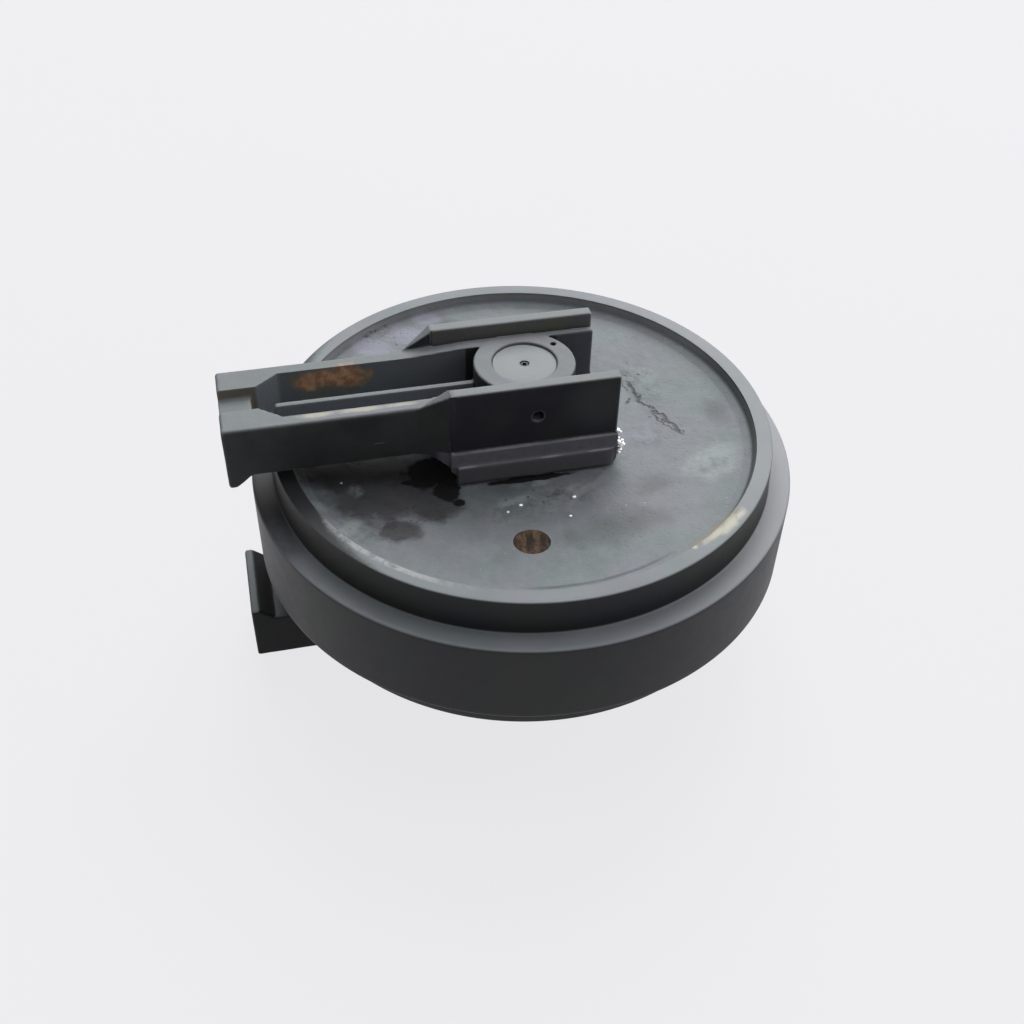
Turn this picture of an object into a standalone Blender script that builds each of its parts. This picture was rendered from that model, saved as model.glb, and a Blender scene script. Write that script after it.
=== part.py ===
"""Front idler of an excavator's track: wheel, axle, brackets and seals.

The wheel turns about +Z. The track frame lies towards -X, where the two bracket arms point. The origin is the
centre of the axle's lower end face. A height h in this file is measured up from the wheel's middle plane.
The upper group is modelled, and the lower group is the same group turned over about the X axis.
"""

import math

import bmesh
import bpy
from mathutils import Matrix, Vector

MM = 0.001

# Fits and running clearances
FIT_GAP = 0.3 * MM
HUB_RUNNING_GAP = 3 * MM
SKIRT_RUNNING_GAP = 1.4 * MM
ARM_RUNNING_GAP = 15 * MM
LIP_RUNNING_GAP = 3 * MM
NOSE_RUNNING_GAP = 4 * MM
SEAT_RADIAL_GAP = 1.9 * MM

# Wheel, outside
WHEEL_HALF_WIDTH = 82.4 * MM
TREAD_RADIUS = 250 * MM
TREAD_TAPER = 1.9 * MM
FLANGE_HEIGHT = 23.4 * MM
FLANGE_HALF_WIDTH = 45.6 * MM
FLANGE_CHAMFER = 2.4 * MM
RIM_FACE_WIDTH = 15.7 * MM
RIM_CHAMFER = 1.5 * MM
RIM_FILLET = 9 * MM
RIM_DRAFT = 8
WEB_STEP_RADIUS = 146 * MM
WEB_STEP = 2.6 * MM
WEB_SLOPE = 3.4 * MM
HUB_DISH = 17 * MM
HUB_PAD_RADIUS = 101 * MM
HUB_PAD_STEP = 2 * MM

# Wheel, inside
RIM_WALL = 25 * MM
WEB_WALL = 15 * MM
HUB_WALL = 24 * MM
SEAT_WALL = 12 * MM
HOLLOW_CORNER = 17 * MM
OIL_CHAMBER_DEPTH = 6.2 * MM
OIL_CHAMBER_HALF_LENGTH = 10 * MM
CORE_HOLE_RADIUS = 17.5 * MM
CORE_HOLE_PLACE = 156 * MM
CORE_HOLE_BEARING = math.radians(-99.8)
CORE_HOLES_PER_WEB = 2
CORE_PLUG_THICKNESS = 9 * MM
CORE_PLUG_RECESS = 1.2 * MM

# Axle and bush
AXLE_RADIUS = 31.2 * MM
AXLE_CHAMFER = 1.5 * MM
AXLE_RECESS = 2.5 * MM
BUSH_WALL = 6 * MM
BUSH_FLANGE_WIDTH = 7.5 * MM
BUSH_FLANGE = 5.1 * MM
OIL_BORE_RADIUS = 3 * MM
OIL_PLUG_RADIUS = 4.4 * MM
OIL_PLUG_LENGTH = 12 * MM
OIL_PLUG_RECESS = 0.8 * MM
OIL_PLUG_SOCKET_RADIUS = 2.3 * MM
OIL_PLUG_SOCKET_DEPTH = 5 * MM
O_RING_SECTION = 1.25 * MM
O_RING_GROOVE_WIDTH = 4.2 * MM
O_RING_RISE = 27.6 * MM

# Floating seal group
SEAL_FACE_WIDTH = 10 * MM
SEAL_FACE_THICKNESS = 3 * MM
SEAL_RING_LENGTH = 11 * MM
SEAL_BODY_WALL = 3.4 * MM
SEAL_SHOULDER_WIDTH = 1.2 * MM
SEAL_SHOULDER_SLOPE = 1.5 * MM
TORIC_SECTION = 3.9 * MM
TORIC_SETBACK = 1.9 * MM

# Bracket casting, lengths along X
ARM_OVERHANG = 20.1 * MM
LIP_LENGTH = 9 * MM
LIP_CHAMFER = 14 * MM
GROOVE_LENGTH = 36.5 * MM
POCKET_TAPER = 22 * MM
RIB_LEAD = 6 * MM
RIB_RAMP = 8 * MM
FLARE_LENGTH = 30 * MM
PLATE_LEFT = -83 * MM
PLATE_RIGHT = 80 * MM
FOOT_BACK_LEDGE = 2 * MM
FOOT_FRONT_LEDGE = 1 * MM
TOE_BACK_STEP = 4.5 * MM
TOE_FRONT_LEDGE = 4 * MM
TOE_CORNER = 14 * MM
HEEL_SLANT = 9 * MM

# Bracket casting, widths across
ARM_HALF = 47.4 * MM
ARM_WALL = 13.8 * MM
FRONT_WALL = 8.9 * MM
GROOVE_HALF = 16.5 * MM
RIB_HALF = 3 * MM
RIB_DRAFT = 2 * MM
PLATE_THICKNESS = 12 * MM
FOOT_SIDE_LEDGE = 3 * MM
TOE_SIDE_LEDGE = 3 * MM
FLARE_STEP = 0.25 * MM

# Bracket casting, heights
TOE_HEIGHT = 20 * MM
HEEL_RISE = 15.6 * MM
FOOT_HEIGHT = 35.5 * MM
FRONT_FLOOR_HEIGHT = 30 * MM
ARM_DEPTH = 55 * MM
POCKET_FLOOR_WALL = 15 * MM
RIB_RISE = 28.5 * MM
GROOVE_DEPTH = 10 * MM
WALL_RISE = 4.5 * MM
BOSS_RISE = 0.4 * MM
PLATE_HEIGHT = 67 * MM

# Bracket casting, boss, seal seat and edges
BOSS_WALL = 18.5 * MM
BOSS_CHAMFER = 1.2 * MM
BOSS_FLAT_INSET = 0.5 * MM
NOSE_WALL = 14.5 * MM
SKIRT_WALL = 3.5 * MM
CAST_EDGE = 2 * MM
PLATE_EDGE = 1 * MM

# Lock pin, blind hole and yoke screw holes
PIN_RADIUS = 5.2 * MM
PIN_BITE = 15.8 * MM
PIN_BELOW_TOP = 21.7 * MM
PIN_SINK = 2 * MM
BLIND_HOLE_RADIUS = 2.7 * MM
BLIND_HOLE_DEPTH = 9 * MM
BLIND_HOLE_X = 34.5 * MM
BLIND_HOLE_Y = 23 * MM
YOKE_HOLE_RADIUS = 8.75 * MM
YOKE_HOLE_DEPTH = 28 * MM
YOKE_HOLE_SPACING = 56 * MM

# How finely round shapes are divided, and how shapes are joined and cut
WHEEL_SIDES = 56
AXLE_SIDES = 40
SEAL_SIDES = 28
HOLE_SIDES = 20
SOCKET_SIDES = 6
TORIC_POINTS = 6
O_RING_POINTS = 5
CORNER_STEPS = 4
BEVEL_ANGLE = math.radians(25)
SMOOTH_ANGLE = math.radians(32)
MERGE_DISTANCE = 0.02 * MM
OVERCUT = 6 * MM
JOIN_DEPTH = 1 * MM

# Radii that follow, from the axle outwards
BORE_RADIUS = AXLE_RADIUS + FIT_GAP
O_RING_GROOVE_RADIUS = AXLE_RADIUS - 2 * O_RING_SECTION - FIT_GAP
BUSH_RADIUS = BORE_RADIUS + BUSH_WALL
HUB_BORE_RADIUS = BUSH_RADIUS + FIT_GAP
OIL_CHAMBER_RADIUS = HUB_BORE_RADIUS + OIL_CHAMBER_DEPTH
BUSH_FLANGE_RADIUS = BUSH_RADIUS + BUSH_FLANGE_WIDTH
NOSE_RADIUS = BORE_RADIUS + NOSE_WALL
SEAL_INNER_RADIUS = NOSE_RADIUS + NOSE_RUNNING_GAP
SEAL_FACE_RADIUS = SEAL_INNER_RADIUS + SEAL_FACE_WIDTH
SEAL_SEAT_RADIUS = SEAL_FACE_RADIUS + SEAT_RADIAL_GAP
BOSS_RADIUS = BORE_RADIUS + BOSS_WALL
FLANGE_RADIUS = TREAD_RADIUS + FLANGE_HEIGHT

# Heights that follow, above the wheel's middle plane
HUB_PAD_HEIGHT = WHEEL_HALF_WIDTH - HUB_DISH
BASE_BOTTOM = HUB_PAD_HEIGHT + HUB_RUNNING_GAP
SKIRT_BOTTOM = HUB_PAD_HEIGHT + SKIRT_RUNNING_GAP
SEAL_PLANE = (HUB_PAD_HEIGHT + BASE_BOTTOM) / 2
SEAL_SEAT_DEPTH = SEAL_RING_LENGTH - TORIC_SETBACK + TORIC_SECTION + FIT_GAP
SEAT_FLOOR = SEAL_PLANE - SEAL_SEAT_DEPTH
SEAT_CEILING = SEAL_PLANE + SEAL_SEAT_DEPTH
BUSH_FLANGE_TOP = SEAT_FLOOR + FIT_GAP + BUSH_FLANGE
TOE_TOP = BASE_BOTTOM + TOE_HEIGHT
HEEL_HEIGHT = BASE_BOTTOM + HEEL_RISE
FOOT_TOP = BASE_BOTTOM + FOOT_HEIGHT
FRONT_FLOOR = BASE_BOTTOM + FRONT_FLOOR_HEIGHT
O_RING_HEIGHT = BASE_BOTTOM + O_RING_RISE
ARM_BOTTOM = WHEEL_HALF_WIDTH + ARM_RUNNING_GAP
LIP_BOTTOM = WHEEL_HALF_WIDTH + LIP_RUNNING_GAP
ARM_TOP = ARM_BOTTOM + ARM_DEPTH
POCKET_FLOOR = ARM_BOTTOM + POCKET_FLOOR_WALL
GROOVE_FLOOR = ARM_TOP - GROOVE_DEPTH
WALL_TOP = ARM_TOP + WALL_RISE
BOSS_TOP = WALL_TOP + BOSS_RISE
PIN_HEIGHT = BOSS_TOP - PIN_BELOW_TOP
PLATE_TOP = FOOT_TOP + PLATE_HEIGHT
AXLE_END = BOSS_TOP - AXLE_RECESS
MIDDLE_Z = AXLE_END

# Places that follow, along X and across
ARM_END = -(FLANGE_RADIUS + ARM_OVERHANG)
GROOVE_END = ARM_END + GROOVE_LENGTH
POCKET_START = GROOVE_END + POCKET_TAPER
RIB_START = POCKET_START - RIB_LEAD
RIB_END = BOSS_WALL / 2 - BOSS_RADIUS
FLARE_START = PLATE_LEFT - FLARE_LENGTH
HEEL_TOP = PLATE_LEFT - FIT_GAP
HEEL_START = HEEL_TOP - 2 * HEEL_SLANT
TOE_RIGHT = PLATE_RIGHT + TOE_FRONT_LEDGE
POCKET_HALF = ARM_HALF - ARM_WALL
FRONT_GAP_HALF = ARM_HALF - FRONT_WALL
PLATE_INNER = ARM_HALF + FIT_GAP
PLATE_OUTER = PLATE_INNER + PLATE_THICKNESS
FOOT_HALF = PLATE_OUTER + FOOT_SIDE_LEDGE
TOE_HALF = FOOT_HALF + TOE_SIDE_LEDGE
PIN_HOLE_RADIUS = PIN_RADIUS + FIT_GAP
PLATE_HOLE_RADIUS = PIN_HOLE_RADIUS + FIT_GAP
PIN_OUTER_END = ARM_HALF - PIN_SINK
PIN_INNER_END = AXLE_RADIUS - PIN_BITE


def clear_scene():
    for old in list(bpy.data.objects):
        bpy.data.objects.remove(old, do_unlink=True)


def new_collection(name):
    found = bpy.data.collections.new(name)
    bpy.context.scene.collection.children.link(found)
    return found


def new_material(name, colour, metallic, roughness):
    found = bpy.data.materials.new(name)
    found.use_nodes = True
    shader = found.node_tree.nodes["Principled BSDF"]
    shader.inputs["Base Color"].default_value = (*colour, 1.0)
    shader.inputs["Metallic"].default_value = metallic
    shader.inputs["Roughness"].default_value = roughness
    found.diffuse_color = (*colour, 1.0)
    return found


clear_scene()
PARTS = new_collection("excavator_front_idler")
CUTTERS = new_collection("cutters")
UPPER_PLACE = Matrix.Translation((0, 0, MIDDLE_Z))
LOWER_PLACE = UPPER_PLACE @ Matrix.Rotation(math.pi, 4, "X")


def add_part(name, mesh, material):
    """Links a mesh as a part whose origin lies on the wheel's axis, at the middle plane."""
    part = bpy.data.objects.new(name, mesh)
    PARTS.objects.link(part)
    part.matrix_world = UPPER_PLACE
    mesh.materials.clear()
    mesh.materials.append(material)
    return part


def add_cutter(name, mesh):
    cutter = bpy.data.objects.new(name, mesh)
    CUTTERS.objects.link(cutter)
    cutter.matrix_world = UPPER_PLACE
    cutter.display_type = "WIRE"
    cutter.hide_render = True
    return cutter


def finished_mesh(source, name):
    """A new mesh of the object as its modifiers leave it."""
    bpy.context.view_layer.update()
    graph = bpy.context.evaluated_depsgraph_get()
    mesh = bpy.data.meshes.new_from_object(source.evaluated_get(graph))
    mesh.name = name
    return mesh


def welded_mesh(source, name):
    """The same, with the loose caps of a curve or the seam of a turned shape welded."""
    mesh = finished_mesh(source, name)
    work = bmesh.new()
    work.from_mesh(mesh)
    bmesh.ops.remove_doubles(work, verts=work.verts, dist=MERGE_DISTANCE)
    work.to_mesh(mesh)
    work.free()
    return mesh


def turned_mesh(name, outline, sides):
    """A turned solid from a closed outline of (radius, height), by a Screw modifier about Z."""
    signed = sum(a[0] * b[1] - b[0] * a[1] for a, b in zip(outline, outline[1:] + outline[:1]))
    ring = outline if signed < 0 else outline[::-1]
    on_axis = [i for i, (radius, _) in enumerate(ring) if radius == 0]
    closed = not on_axis
    if on_axis:
        first = next(i for i in on_axis if ring[i - 1][0] == 0)
        ring = ring[first:] + ring[:first]
    work = bmesh.new()
    points = [work.verts.new((radius, 0, height)) for radius, height in ring]
    for a, b in zip(points, points[1:]):
        work.edges.new((a, b))
    if closed:
        work.edges.new((points[-1], points[0]))
    mesh = bpy.data.meshes.new(name)
    work.to_mesh(mesh)
    work.free()
    holder = bpy.data.objects.new(name, mesh)
    CUTTERS.objects.link(holder)
    screw = holder.modifiers.new("turn", "SCREW")
    screw.axis = "Z"
    screw.angle = math.tau
    screw.steps = sides
    screw.render_steps = sides
    screw.use_merge_vertices = True
    screw.merge_threshold = MERGE_DISTANCE
    solid = welded_mesh(holder, name)
    bpy.data.objects.remove(holder, do_unlink=True)
    return solid


def extruded_mesh(name, outline, low, high, plane="XY", bevel=0.0):
    """A solid of a flat outline between two levels: from z to z in plane XY, or from y to y in plane XZ."""
    flat = bpy.data.curves.new(name, "CURVE")
    flat.dimensions = "2D"
    flat.fill_mode = "BOTH"
    flat.extrude = (high - low) / 2
    line = flat.splines.new("POLY")
    line.points.add(len(outline) - 1)
    for point, (across, along) in zip(line.points, outline):
        point.co = (across, along, 0, 1)
    line.use_cyclic_u = True
    holder = bpy.data.objects.new(name, flat)
    CUTTERS.objects.link(holder)
    if bevel:
        weld = holder.modifiers.new("weld", "WELD")
        weld.merge_threshold = MERGE_DISTANCE
        edges = holder.modifiers.new("edges", "BEVEL")
        edges.width = bevel
        edges.segments = 1
        edges.limit_method = "ANGLE"
        edges.angle_limit = BEVEL_ANGLE
    solid = welded_mesh(holder, name)
    bpy.data.objects.remove(holder, do_unlink=True)
    middle = Matrix.Translation((0, 0, (low + high) / 2))
    if plane == "XZ":
        middle = Matrix.Rotation(math.pi / 2, 4, "X") @ Matrix.Translation((0, 0, -(low + high) / 2))
    solid.transform(middle)
    return solid


def cylinder_mesh(name, radius, start, end, sides):
    """A cylinder from one point to another."""
    start, end = Vector(start), Vector(end)
    along = end - start
    work = bmesh.new()
    bmesh.ops.create_cone(
        work, cap_ends=True, segments=sides, radius1=radius, radius2=radius, depth=along.length
    )
    mesh = bpy.data.meshes.new(name)
    work.to_mesh(mesh)
    work.free()
    turn = Vector((0, 0, 1)).rotation_difference(along).to_matrix().to_4x4()
    mesh.transform(Matrix.Translation((start + end) / 2) @ turn)
    return mesh


def box_mesh(name, low, high, bevel=0.0):
    work = bmesh.new()
    bmesh.ops.create_cube(work, size=1.0)
    size = [b - a for a, b in zip(low, high)]
    middle = [(a + b) / 2 for a, b in zip(low, high)]
    work.transform(Matrix.Translation(middle) @ Matrix.Diagonal((*size, 1)))
    if bevel:
        bmesh.ops.bevel(
            work, geom=work.edges[:], offset=bevel, segments=1, affect="EDGES", profile=0.5
        )
    mesh = bpy.data.meshes.new(name)
    work.to_mesh(mesh)
    work.free()
    return mesh


def combine(part, operation, name, mesh):
    """Cuts a shape from a part, or joins it on, with an exact Boolean."""
    step = part.modifiers.new(name, "BOOLEAN")
    step.operation = operation
    step.solver = "EXACT"
    step.object = add_cutter(f"{part.name}_{name}", mesh)


def cut(part, name, mesh):
    combine(part, "DIFFERENCE", name, mesh)


def join(part, name, mesh):
    combine(part, "UNION", name, mesh)


def turn_over(part, name):
    """The lower group's copy of an upper part: its finished shape, turned over about the X axis."""
    mesh = part.data
    if part.modifiers:
        mesh = finished_mesh(part, name)
    copy = bpy.data.objects.new(name, mesh)
    PARTS.objects.link(copy)
    copy.matrix_world = LOWER_PLACE
    return copy


def arc(centre, radius, start, end, count):
    """Points of an arc in an outline, by its start and end angles in degrees."""
    turns = [math.radians(start + (end - start) * i / count) for i in range(count + 1)]
    return [(centre[0] + radius * math.cos(a), centre[1] + radius * math.sin(a)) for a in turns]


def circle(centre, radius, count):
    return arc(centre, radius, 0, 360, count)[:-1]


def rectangle(left, right, low, high):
    return [(left, low), (right, low), (right, high), (left, high)]


CAST_STEEL = new_material("cast_steel_wheel", (0.30, 0.31, 0.32), 0.6, 0.55)
BRACKET_STEEL = new_material("cast_steel_bracket", (0.24, 0.25, 0.26), 0.6, 0.55)
PLATE_STEEL = new_material("slide_plate_steel", (0.27, 0.28, 0.29), 0.7, 0.45)
AXLE_STEEL = new_material("turned_axle_steel", (0.50, 0.52, 0.52), 0.9, 0.35)
BRONZE = new_material("bush_bronze", (0.55, 0.38, 0.18), 0.9, 0.35)
SEAL_IRON = new_material("seal_ring_iron", (0.42, 0.42, 0.43), 0.9, 0.2)
RUBBER = new_material("seal_rubber", (0.03, 0.03, 0.03), 0.0, 0.7)
RUSTY_STEEL = new_material("rusty_plug_steel", (0.25, 0.13, 0.07), 0.2, 0.85)
PLUG_STEEL = new_material("oil_plug_steel", (0.2, 0.2, 0.2), 0.9, 0.4)


def web_height(radius):
    """Height of the web's outer face at a radius: flat to the step, then rising to the rim."""
    low = HUB_PAD_HEIGHT - HUB_PAD_STEP
    if radius <= WEB_STEP_RADIUS:
        return low
    rim_root = TREAD_RADIUS - RIM_FACE_WIDTH - RIM_FILLET
    return low + WEB_STEP + WEB_SLOPE * (radius - WEB_STEP_RADIUS) / (rim_root - WEB_STEP_RADIUS)


def wheel_outline():
    """Half of the wheel's section, from the oil chamber over the hub, web and rim to the flange."""
    rim_inner = TREAD_RADIUS - RIM_FACE_WIDTH
    rim_root = rim_inner - RIM_FILLET
    tread_root = TREAD_RADIUS + TREAD_TAPER
    fillet_centre = (rim_root, web_height(rim_root) + RIM_FILLET)
    return [
        (OIL_CHAMBER_RADIUS, OIL_CHAMBER_HALF_LENGTH),
        (HUB_BORE_RADIUS, OIL_CHAMBER_HALF_LENGTH),
        (HUB_BORE_RADIUS, SEAT_FLOOR),
        (SEAL_SEAT_RADIUS, SEAT_FLOOR),
        (SEAL_SEAT_RADIUS, HUB_PAD_HEIGHT),
        (HUB_PAD_RADIUS, HUB_PAD_HEIGHT),
        (HUB_PAD_RADIUS + HUB_PAD_STEP, web_height(HUB_PAD_RADIUS)),
        (WEB_STEP_RADIUS, web_height(WEB_STEP_RADIUS)),
        (WEB_STEP_RADIUS + WEB_STEP, web_height(WEB_STEP_RADIUS + WEB_STEP)),
        *arc(fillet_centre, RIM_FILLET, -90, -RIM_DRAFT, CORNER_STEPS),
        (rim_inner, WHEEL_HALF_WIDTH - RIM_CHAMFER),
        (rim_inner + RIM_CHAMFER, WHEEL_HALF_WIDTH),
        (TREAD_RADIUS - RIM_CHAMFER, WHEEL_HALF_WIDTH),
        (TREAD_RADIUS, WHEEL_HALF_WIDTH - RIM_CHAMFER),
        (tread_root, FLANGE_HALF_WIDTH + TREAD_TAPER),
        (tread_root + TREAD_TAPER, FLANGE_HALF_WIDTH),
        (FLANGE_RADIUS - FLANGE_CHAMFER, FLANGE_HALF_WIDTH),
        (FLANGE_RADIUS, FLANGE_HALF_WIDTH - FLANGE_CHAMFER),
    ]


def both_halves(half):
    """Closes half an outline with its mirror image below the middle plane."""
    return half + [(radius, -height) for radius, height in reversed(half)]


def hollow_outline():
    """Half of the section of the space that the casting core leaves between hub, webs and rim."""
    inner = SEAL_SEAT_RADIUS + SEAT_WALL
    outer = TREAD_RADIUS - RIM_WALL
    return [
        (inner, SEAT_FLOOR - HUB_WALL),
        (inner + HOLLOW_CORNER, web_height(inner) - WEB_WALL),
        (outer - HOLLOW_CORNER, web_height(outer - HOLLOW_CORNER) - WEB_WALL),
        (outer, web_height(outer - HOLLOW_CORNER) - WEB_WALL - HOLLOW_CORNER),
    ]


def core_hole_places():
    for number in range(CORE_HOLES_PER_WEB):
        bearing = CORE_HOLE_BEARING + math.tau * number / CORE_HOLES_PER_WEB
        yield number + 1, CORE_HOLE_PLACE * math.cos(bearing), CORE_HOLE_PLACE * math.sin(bearing)


def build_wheel():
    mesh = turned_mesh("idler_wheel", both_halves(wheel_outline()), WHEEL_SIDES)
    wheel = add_part("idler_wheel", mesh, CAST_STEEL)
    cut(wheel, "hollow", turned_mesh("hollow", both_halves(hollow_outline()), WHEEL_SIDES))
    for number, x, y in core_hole_places():
        for side, mirror in (("upper", 1), ("lower", -1)):
            start = (x, mirror * y, 0)
            end = (x, mirror * y, mirror * (WHEEL_HALF_WIDTH + OVERCUT))
            hole = cylinder_mesh("core_hole", CORE_HOLE_RADIUS, start, end, HOLE_SIDES)
            cut(wheel, f"{side}_core_hole_{number}", hole)


def build_core_plugs():
    top = web_height(CORE_HOLE_PLACE) - CORE_PLUG_RECESS
    radius = CORE_HOLE_RADIUS - FIT_GAP
    for number, x, y in core_hole_places():
        mesh = cylinder_mesh(
            "core_plug", radius, (x, y, top - CORE_PLUG_THICKNESS), (x, y, top), HOLE_SIDES
        )
        plug = add_part(f"upper_core_plug_{number}", mesh, RUSTY_STEEL)
        turn_over(plug, f"lower_core_plug_{number}")


def build_bushes():
    outline = [
        (BORE_RADIUS, BUSH_FLANGE_TOP),
        (BUSH_FLANGE_RADIUS, BUSH_FLANGE_TOP),
        (BUSH_FLANGE_RADIUS, BUSH_FLANGE_TOP - BUSH_FLANGE),
        (BUSH_RADIUS, BUSH_FLANGE_TOP - BUSH_FLANGE),
        (BUSH_RADIUS, OIL_CHAMBER_HALF_LENGTH),
        (BORE_RADIUS, OIL_CHAMBER_HALF_LENGTH),
    ]
    bush = add_part("upper_bush", turned_mesh("bush", outline, AXLE_SIDES), BRONZE)
    turn_over(bush, "lower_bush")


def axle_outline():
    """The axle's section: plug seat and oil bore at the top, O-ring grooves where the brackets sit."""
    groove = O_RING_GROOVE_WIDTH / 2
    plug_seat = OIL_PLUG_RADIUS + FIT_GAP
    plug_floor = AXLE_END - OIL_PLUG_RECESS - OIL_PLUG_LENGTH - FIT_GAP
    outside = [(AXLE_RADIUS - AXLE_CHAMFER, AXLE_END), (AXLE_RADIUS, AXLE_END - AXLE_CHAMFER)]
    for height in (O_RING_HEIGHT, -O_RING_HEIGHT):
        outside += [
            (AXLE_RADIUS, height + groove),
            (O_RING_GROOVE_RADIUS, height + groove),
            (O_RING_GROOVE_RADIUS, height - groove),
            (AXLE_RADIUS, height - groove),
        ]
    outside += [(AXLE_RADIUS, AXLE_CHAMFER - AXLE_END), (AXLE_RADIUS - AXLE_CHAMFER, -AXLE_END)]
    inside = [
        (0, -2 * OIL_BORE_RADIUS),
        (OIL_BORE_RADIUS, -2 * OIL_BORE_RADIUS),
        (OIL_BORE_RADIUS, plug_floor),
        (plug_seat, plug_floor),
        (plug_seat, AXLE_END),
    ]
    return inside + outside + [(0, -AXLE_END)]


def pin_hole(side, radius, inner):
    """The lock pin's hole from a depth outwards: towards -Y above the wheel, and turned over below it."""
    start = (0, -side * inner, side * PIN_HEIGHT)
    end = (0, -side * (PLATE_OUTER + OVERCUT), side * PIN_HEIGHT)
    return cylinder_mesh("pin_hole", radius, start, end, HOLE_SIDES)


def build_axle():
    axle = add_part("axle_shaft", turned_mesh("axle_shaft", axle_outline(), AXLE_SIDES), AXLE_STEEL)
    for side, name in ((1, "upper_pin_hole"), (-1, "lower_pin_hole")):
        cut(axle, name, pin_hole(side, PIN_HOLE_RADIUS, PIN_INNER_END - FIT_GAP))
    cross_bore = cylinder_mesh(
        "cross_bore", OIL_BORE_RADIUS, (0, 0, 0), (AXLE_RADIUS + OVERCUT, 0, 0), HOLE_SIDES
    )
    cut(axle, "cross_bore", cross_bore)


def build_oil_plug():
    top = AXLE_END - OIL_PLUG_RECESS
    start = (0, 0, top - OIL_PLUG_LENGTH)
    mesh = cylinder_mesh("oil_plug", OIL_PLUG_RADIUS, start, (0, 0, top), HOLE_SIDES)
    plug = add_part("oil_plug", mesh, PLUG_STEEL)
    start = (0, 0, top - OIL_PLUG_SOCKET_DEPTH)
    end = (0, 0, top + OVERCUT)
    socket = cylinder_mesh("socket", OIL_PLUG_SOCKET_RADIUS, start, end, SOCKET_SIDES)
    cut(plug, "socket", socket)


def build_seals():
    """The floating seal: two iron rings face to face, each on a rubber toric, and the axle's O-rings."""
    body = SEAL_INNER_RADIUS + SEAL_BODY_WALL
    for owner, side in (("bracket", 1), ("wheel", -1)):
        face = SEAL_PLANE + side * FIT_GAP / 2
        back = SEAL_PLANE + side * SEAL_RING_LENGTH
        shoulder = face + side * SEAL_FACE_THICKNESS
        outline = [
            (SEAL_INNER_RADIUS, face),
            (SEAL_FACE_RADIUS, face),
            (SEAL_FACE_RADIUS, shoulder),
            (body + SEAL_SHOULDER_WIDTH, shoulder + side * SEAL_SHOULDER_SLOPE),
            (body, back),
            (SEAL_INNER_RADIUS, back),
        ]
        ring = add_part(
            f"upper_{owner}_seal_ring", turned_mesh("seal_ring", outline, SEAL_SIDES), SEAL_IRON
        )
        turn_over(ring, f"lower_{owner}_seal_ring")
        centre = (SEAL_SEAT_RADIUS - FIT_GAP - TORIC_SECTION, back - side * TORIC_SETBACK)
        section = circle(centre, TORIC_SECTION, TORIC_POINTS)
        toric = add_part(f"upper_{owner}_toric", turned_mesh("toric", section, SEAL_SIDES), RUBBER)
        turn_over(toric, f"lower_{owner}_toric")
    centre = (O_RING_GROOVE_RADIUS + FIT_GAP + O_RING_SECTION, O_RING_HEIGHT)
    section = circle(centre, O_RING_SECTION, O_RING_POINTS)
    o_ring = add_part("upper_axle_o_ring", turned_mesh("o_ring", section, AXLE_SIDES), RUBBER)
    turn_over(o_ring, "lower_axle_o_ring")


def arm_outline():
    """Side view of the arm, its lip, its raised walls and the slanted heel of the base."""
    return [
        (ARM_END, LIP_BOTTOM),
        (ARM_END + LIP_LENGTH, LIP_BOTTOM),
        (ARM_END + LIP_LENGTH + LIP_CHAMFER, ARM_BOTTOM),
        (HEEL_START, ARM_BOTTOM),
        (HEEL_TOP, HEEL_HEIGHT),
        (HEEL_TOP + HEEL_SLANT, BASE_BOTTOM + CAST_EDGE),
        (PLATE_RIGHT, BASE_BOTTOM + CAST_EDGE),
        (PLATE_RIGHT, WALL_TOP),
        (-BOSS_RADIUS, WALL_TOP),
        (FLARE_START, ARM_TOP),
        (ARM_END, ARM_TOP),
    ]


def foot_outline():
    """Side view of the upper step of the base, on which the slide plates stand."""
    left = PLATE_LEFT - FOOT_BACK_LEDGE
    right = PLATE_RIGHT + FOOT_FRONT_LEDGE
    return [
        (left, FOOT_TOP),
        (left, HEEL_HEIGHT),
        (left + HEEL_SLANT, BASE_BOTTOM + 2 * CAST_EDGE),
        (right, BASE_BOTTOM + 2 * CAST_EDGE),
        (right, FOOT_TOP),
    ]


def toe_outline():
    """Plan of the base's lowest step, with its two front corners rounded."""
    left = PLATE_LEFT + TOE_BACK_STEP
    corner = (TOE_RIGHT - TOE_CORNER, TOE_HALF - TOE_CORNER)
    far = arc(corner, TOE_CORNER, 0, 90, CORNER_STEPS)
    near = [(x, -y) for x, y in far]
    return [(left, -TOE_HALF), *reversed(near), *far, (left, TOE_HALF)]


def flare_mesh(side):
    """The wedge that widens the arm to the slide plate's outer face, by three sections along the arm."""
    inner = side * (ARM_HALF - JOIN_DEPTH)
    first = ARM_HALF + FLARE_STEP
    work = bmesh.new()
    sections = []
    for x, bottom in ((FLARE_START, ARM_BOTTOM), (HEEL_START, ARM_BOTTOM), (HEEL_TOP, HEEL_HEIGHT)):
        share = (x - FLARE_START) / (HEEL_TOP - FLARE_START)
        outer = side * (first + share * (PLATE_OUTER - first))
        top = ARM_TOP + share * (PLATE_TOP - ARM_TOP)
        corners = ((inner, bottom), (outer, bottom), (outer, top), (inner, top))
        sections.append([work.verts.new((x, y, z)) for y, z in corners])
    for one, following in zip(sections, sections[1:]):
        for i, corner in enumerate(one):
            work.faces.new((corner, one[i - 1], following[i - 1], following[i]))
    work.faces.new(sections[0])
    work.faces.new(sections[-1])
    bmesh.ops.recalc_face_normals(work, faces=work.faces)
    mesh = bpy.data.meshes.new("flare")
    work.to_mesh(mesh)
    work.free()
    return mesh


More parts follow.
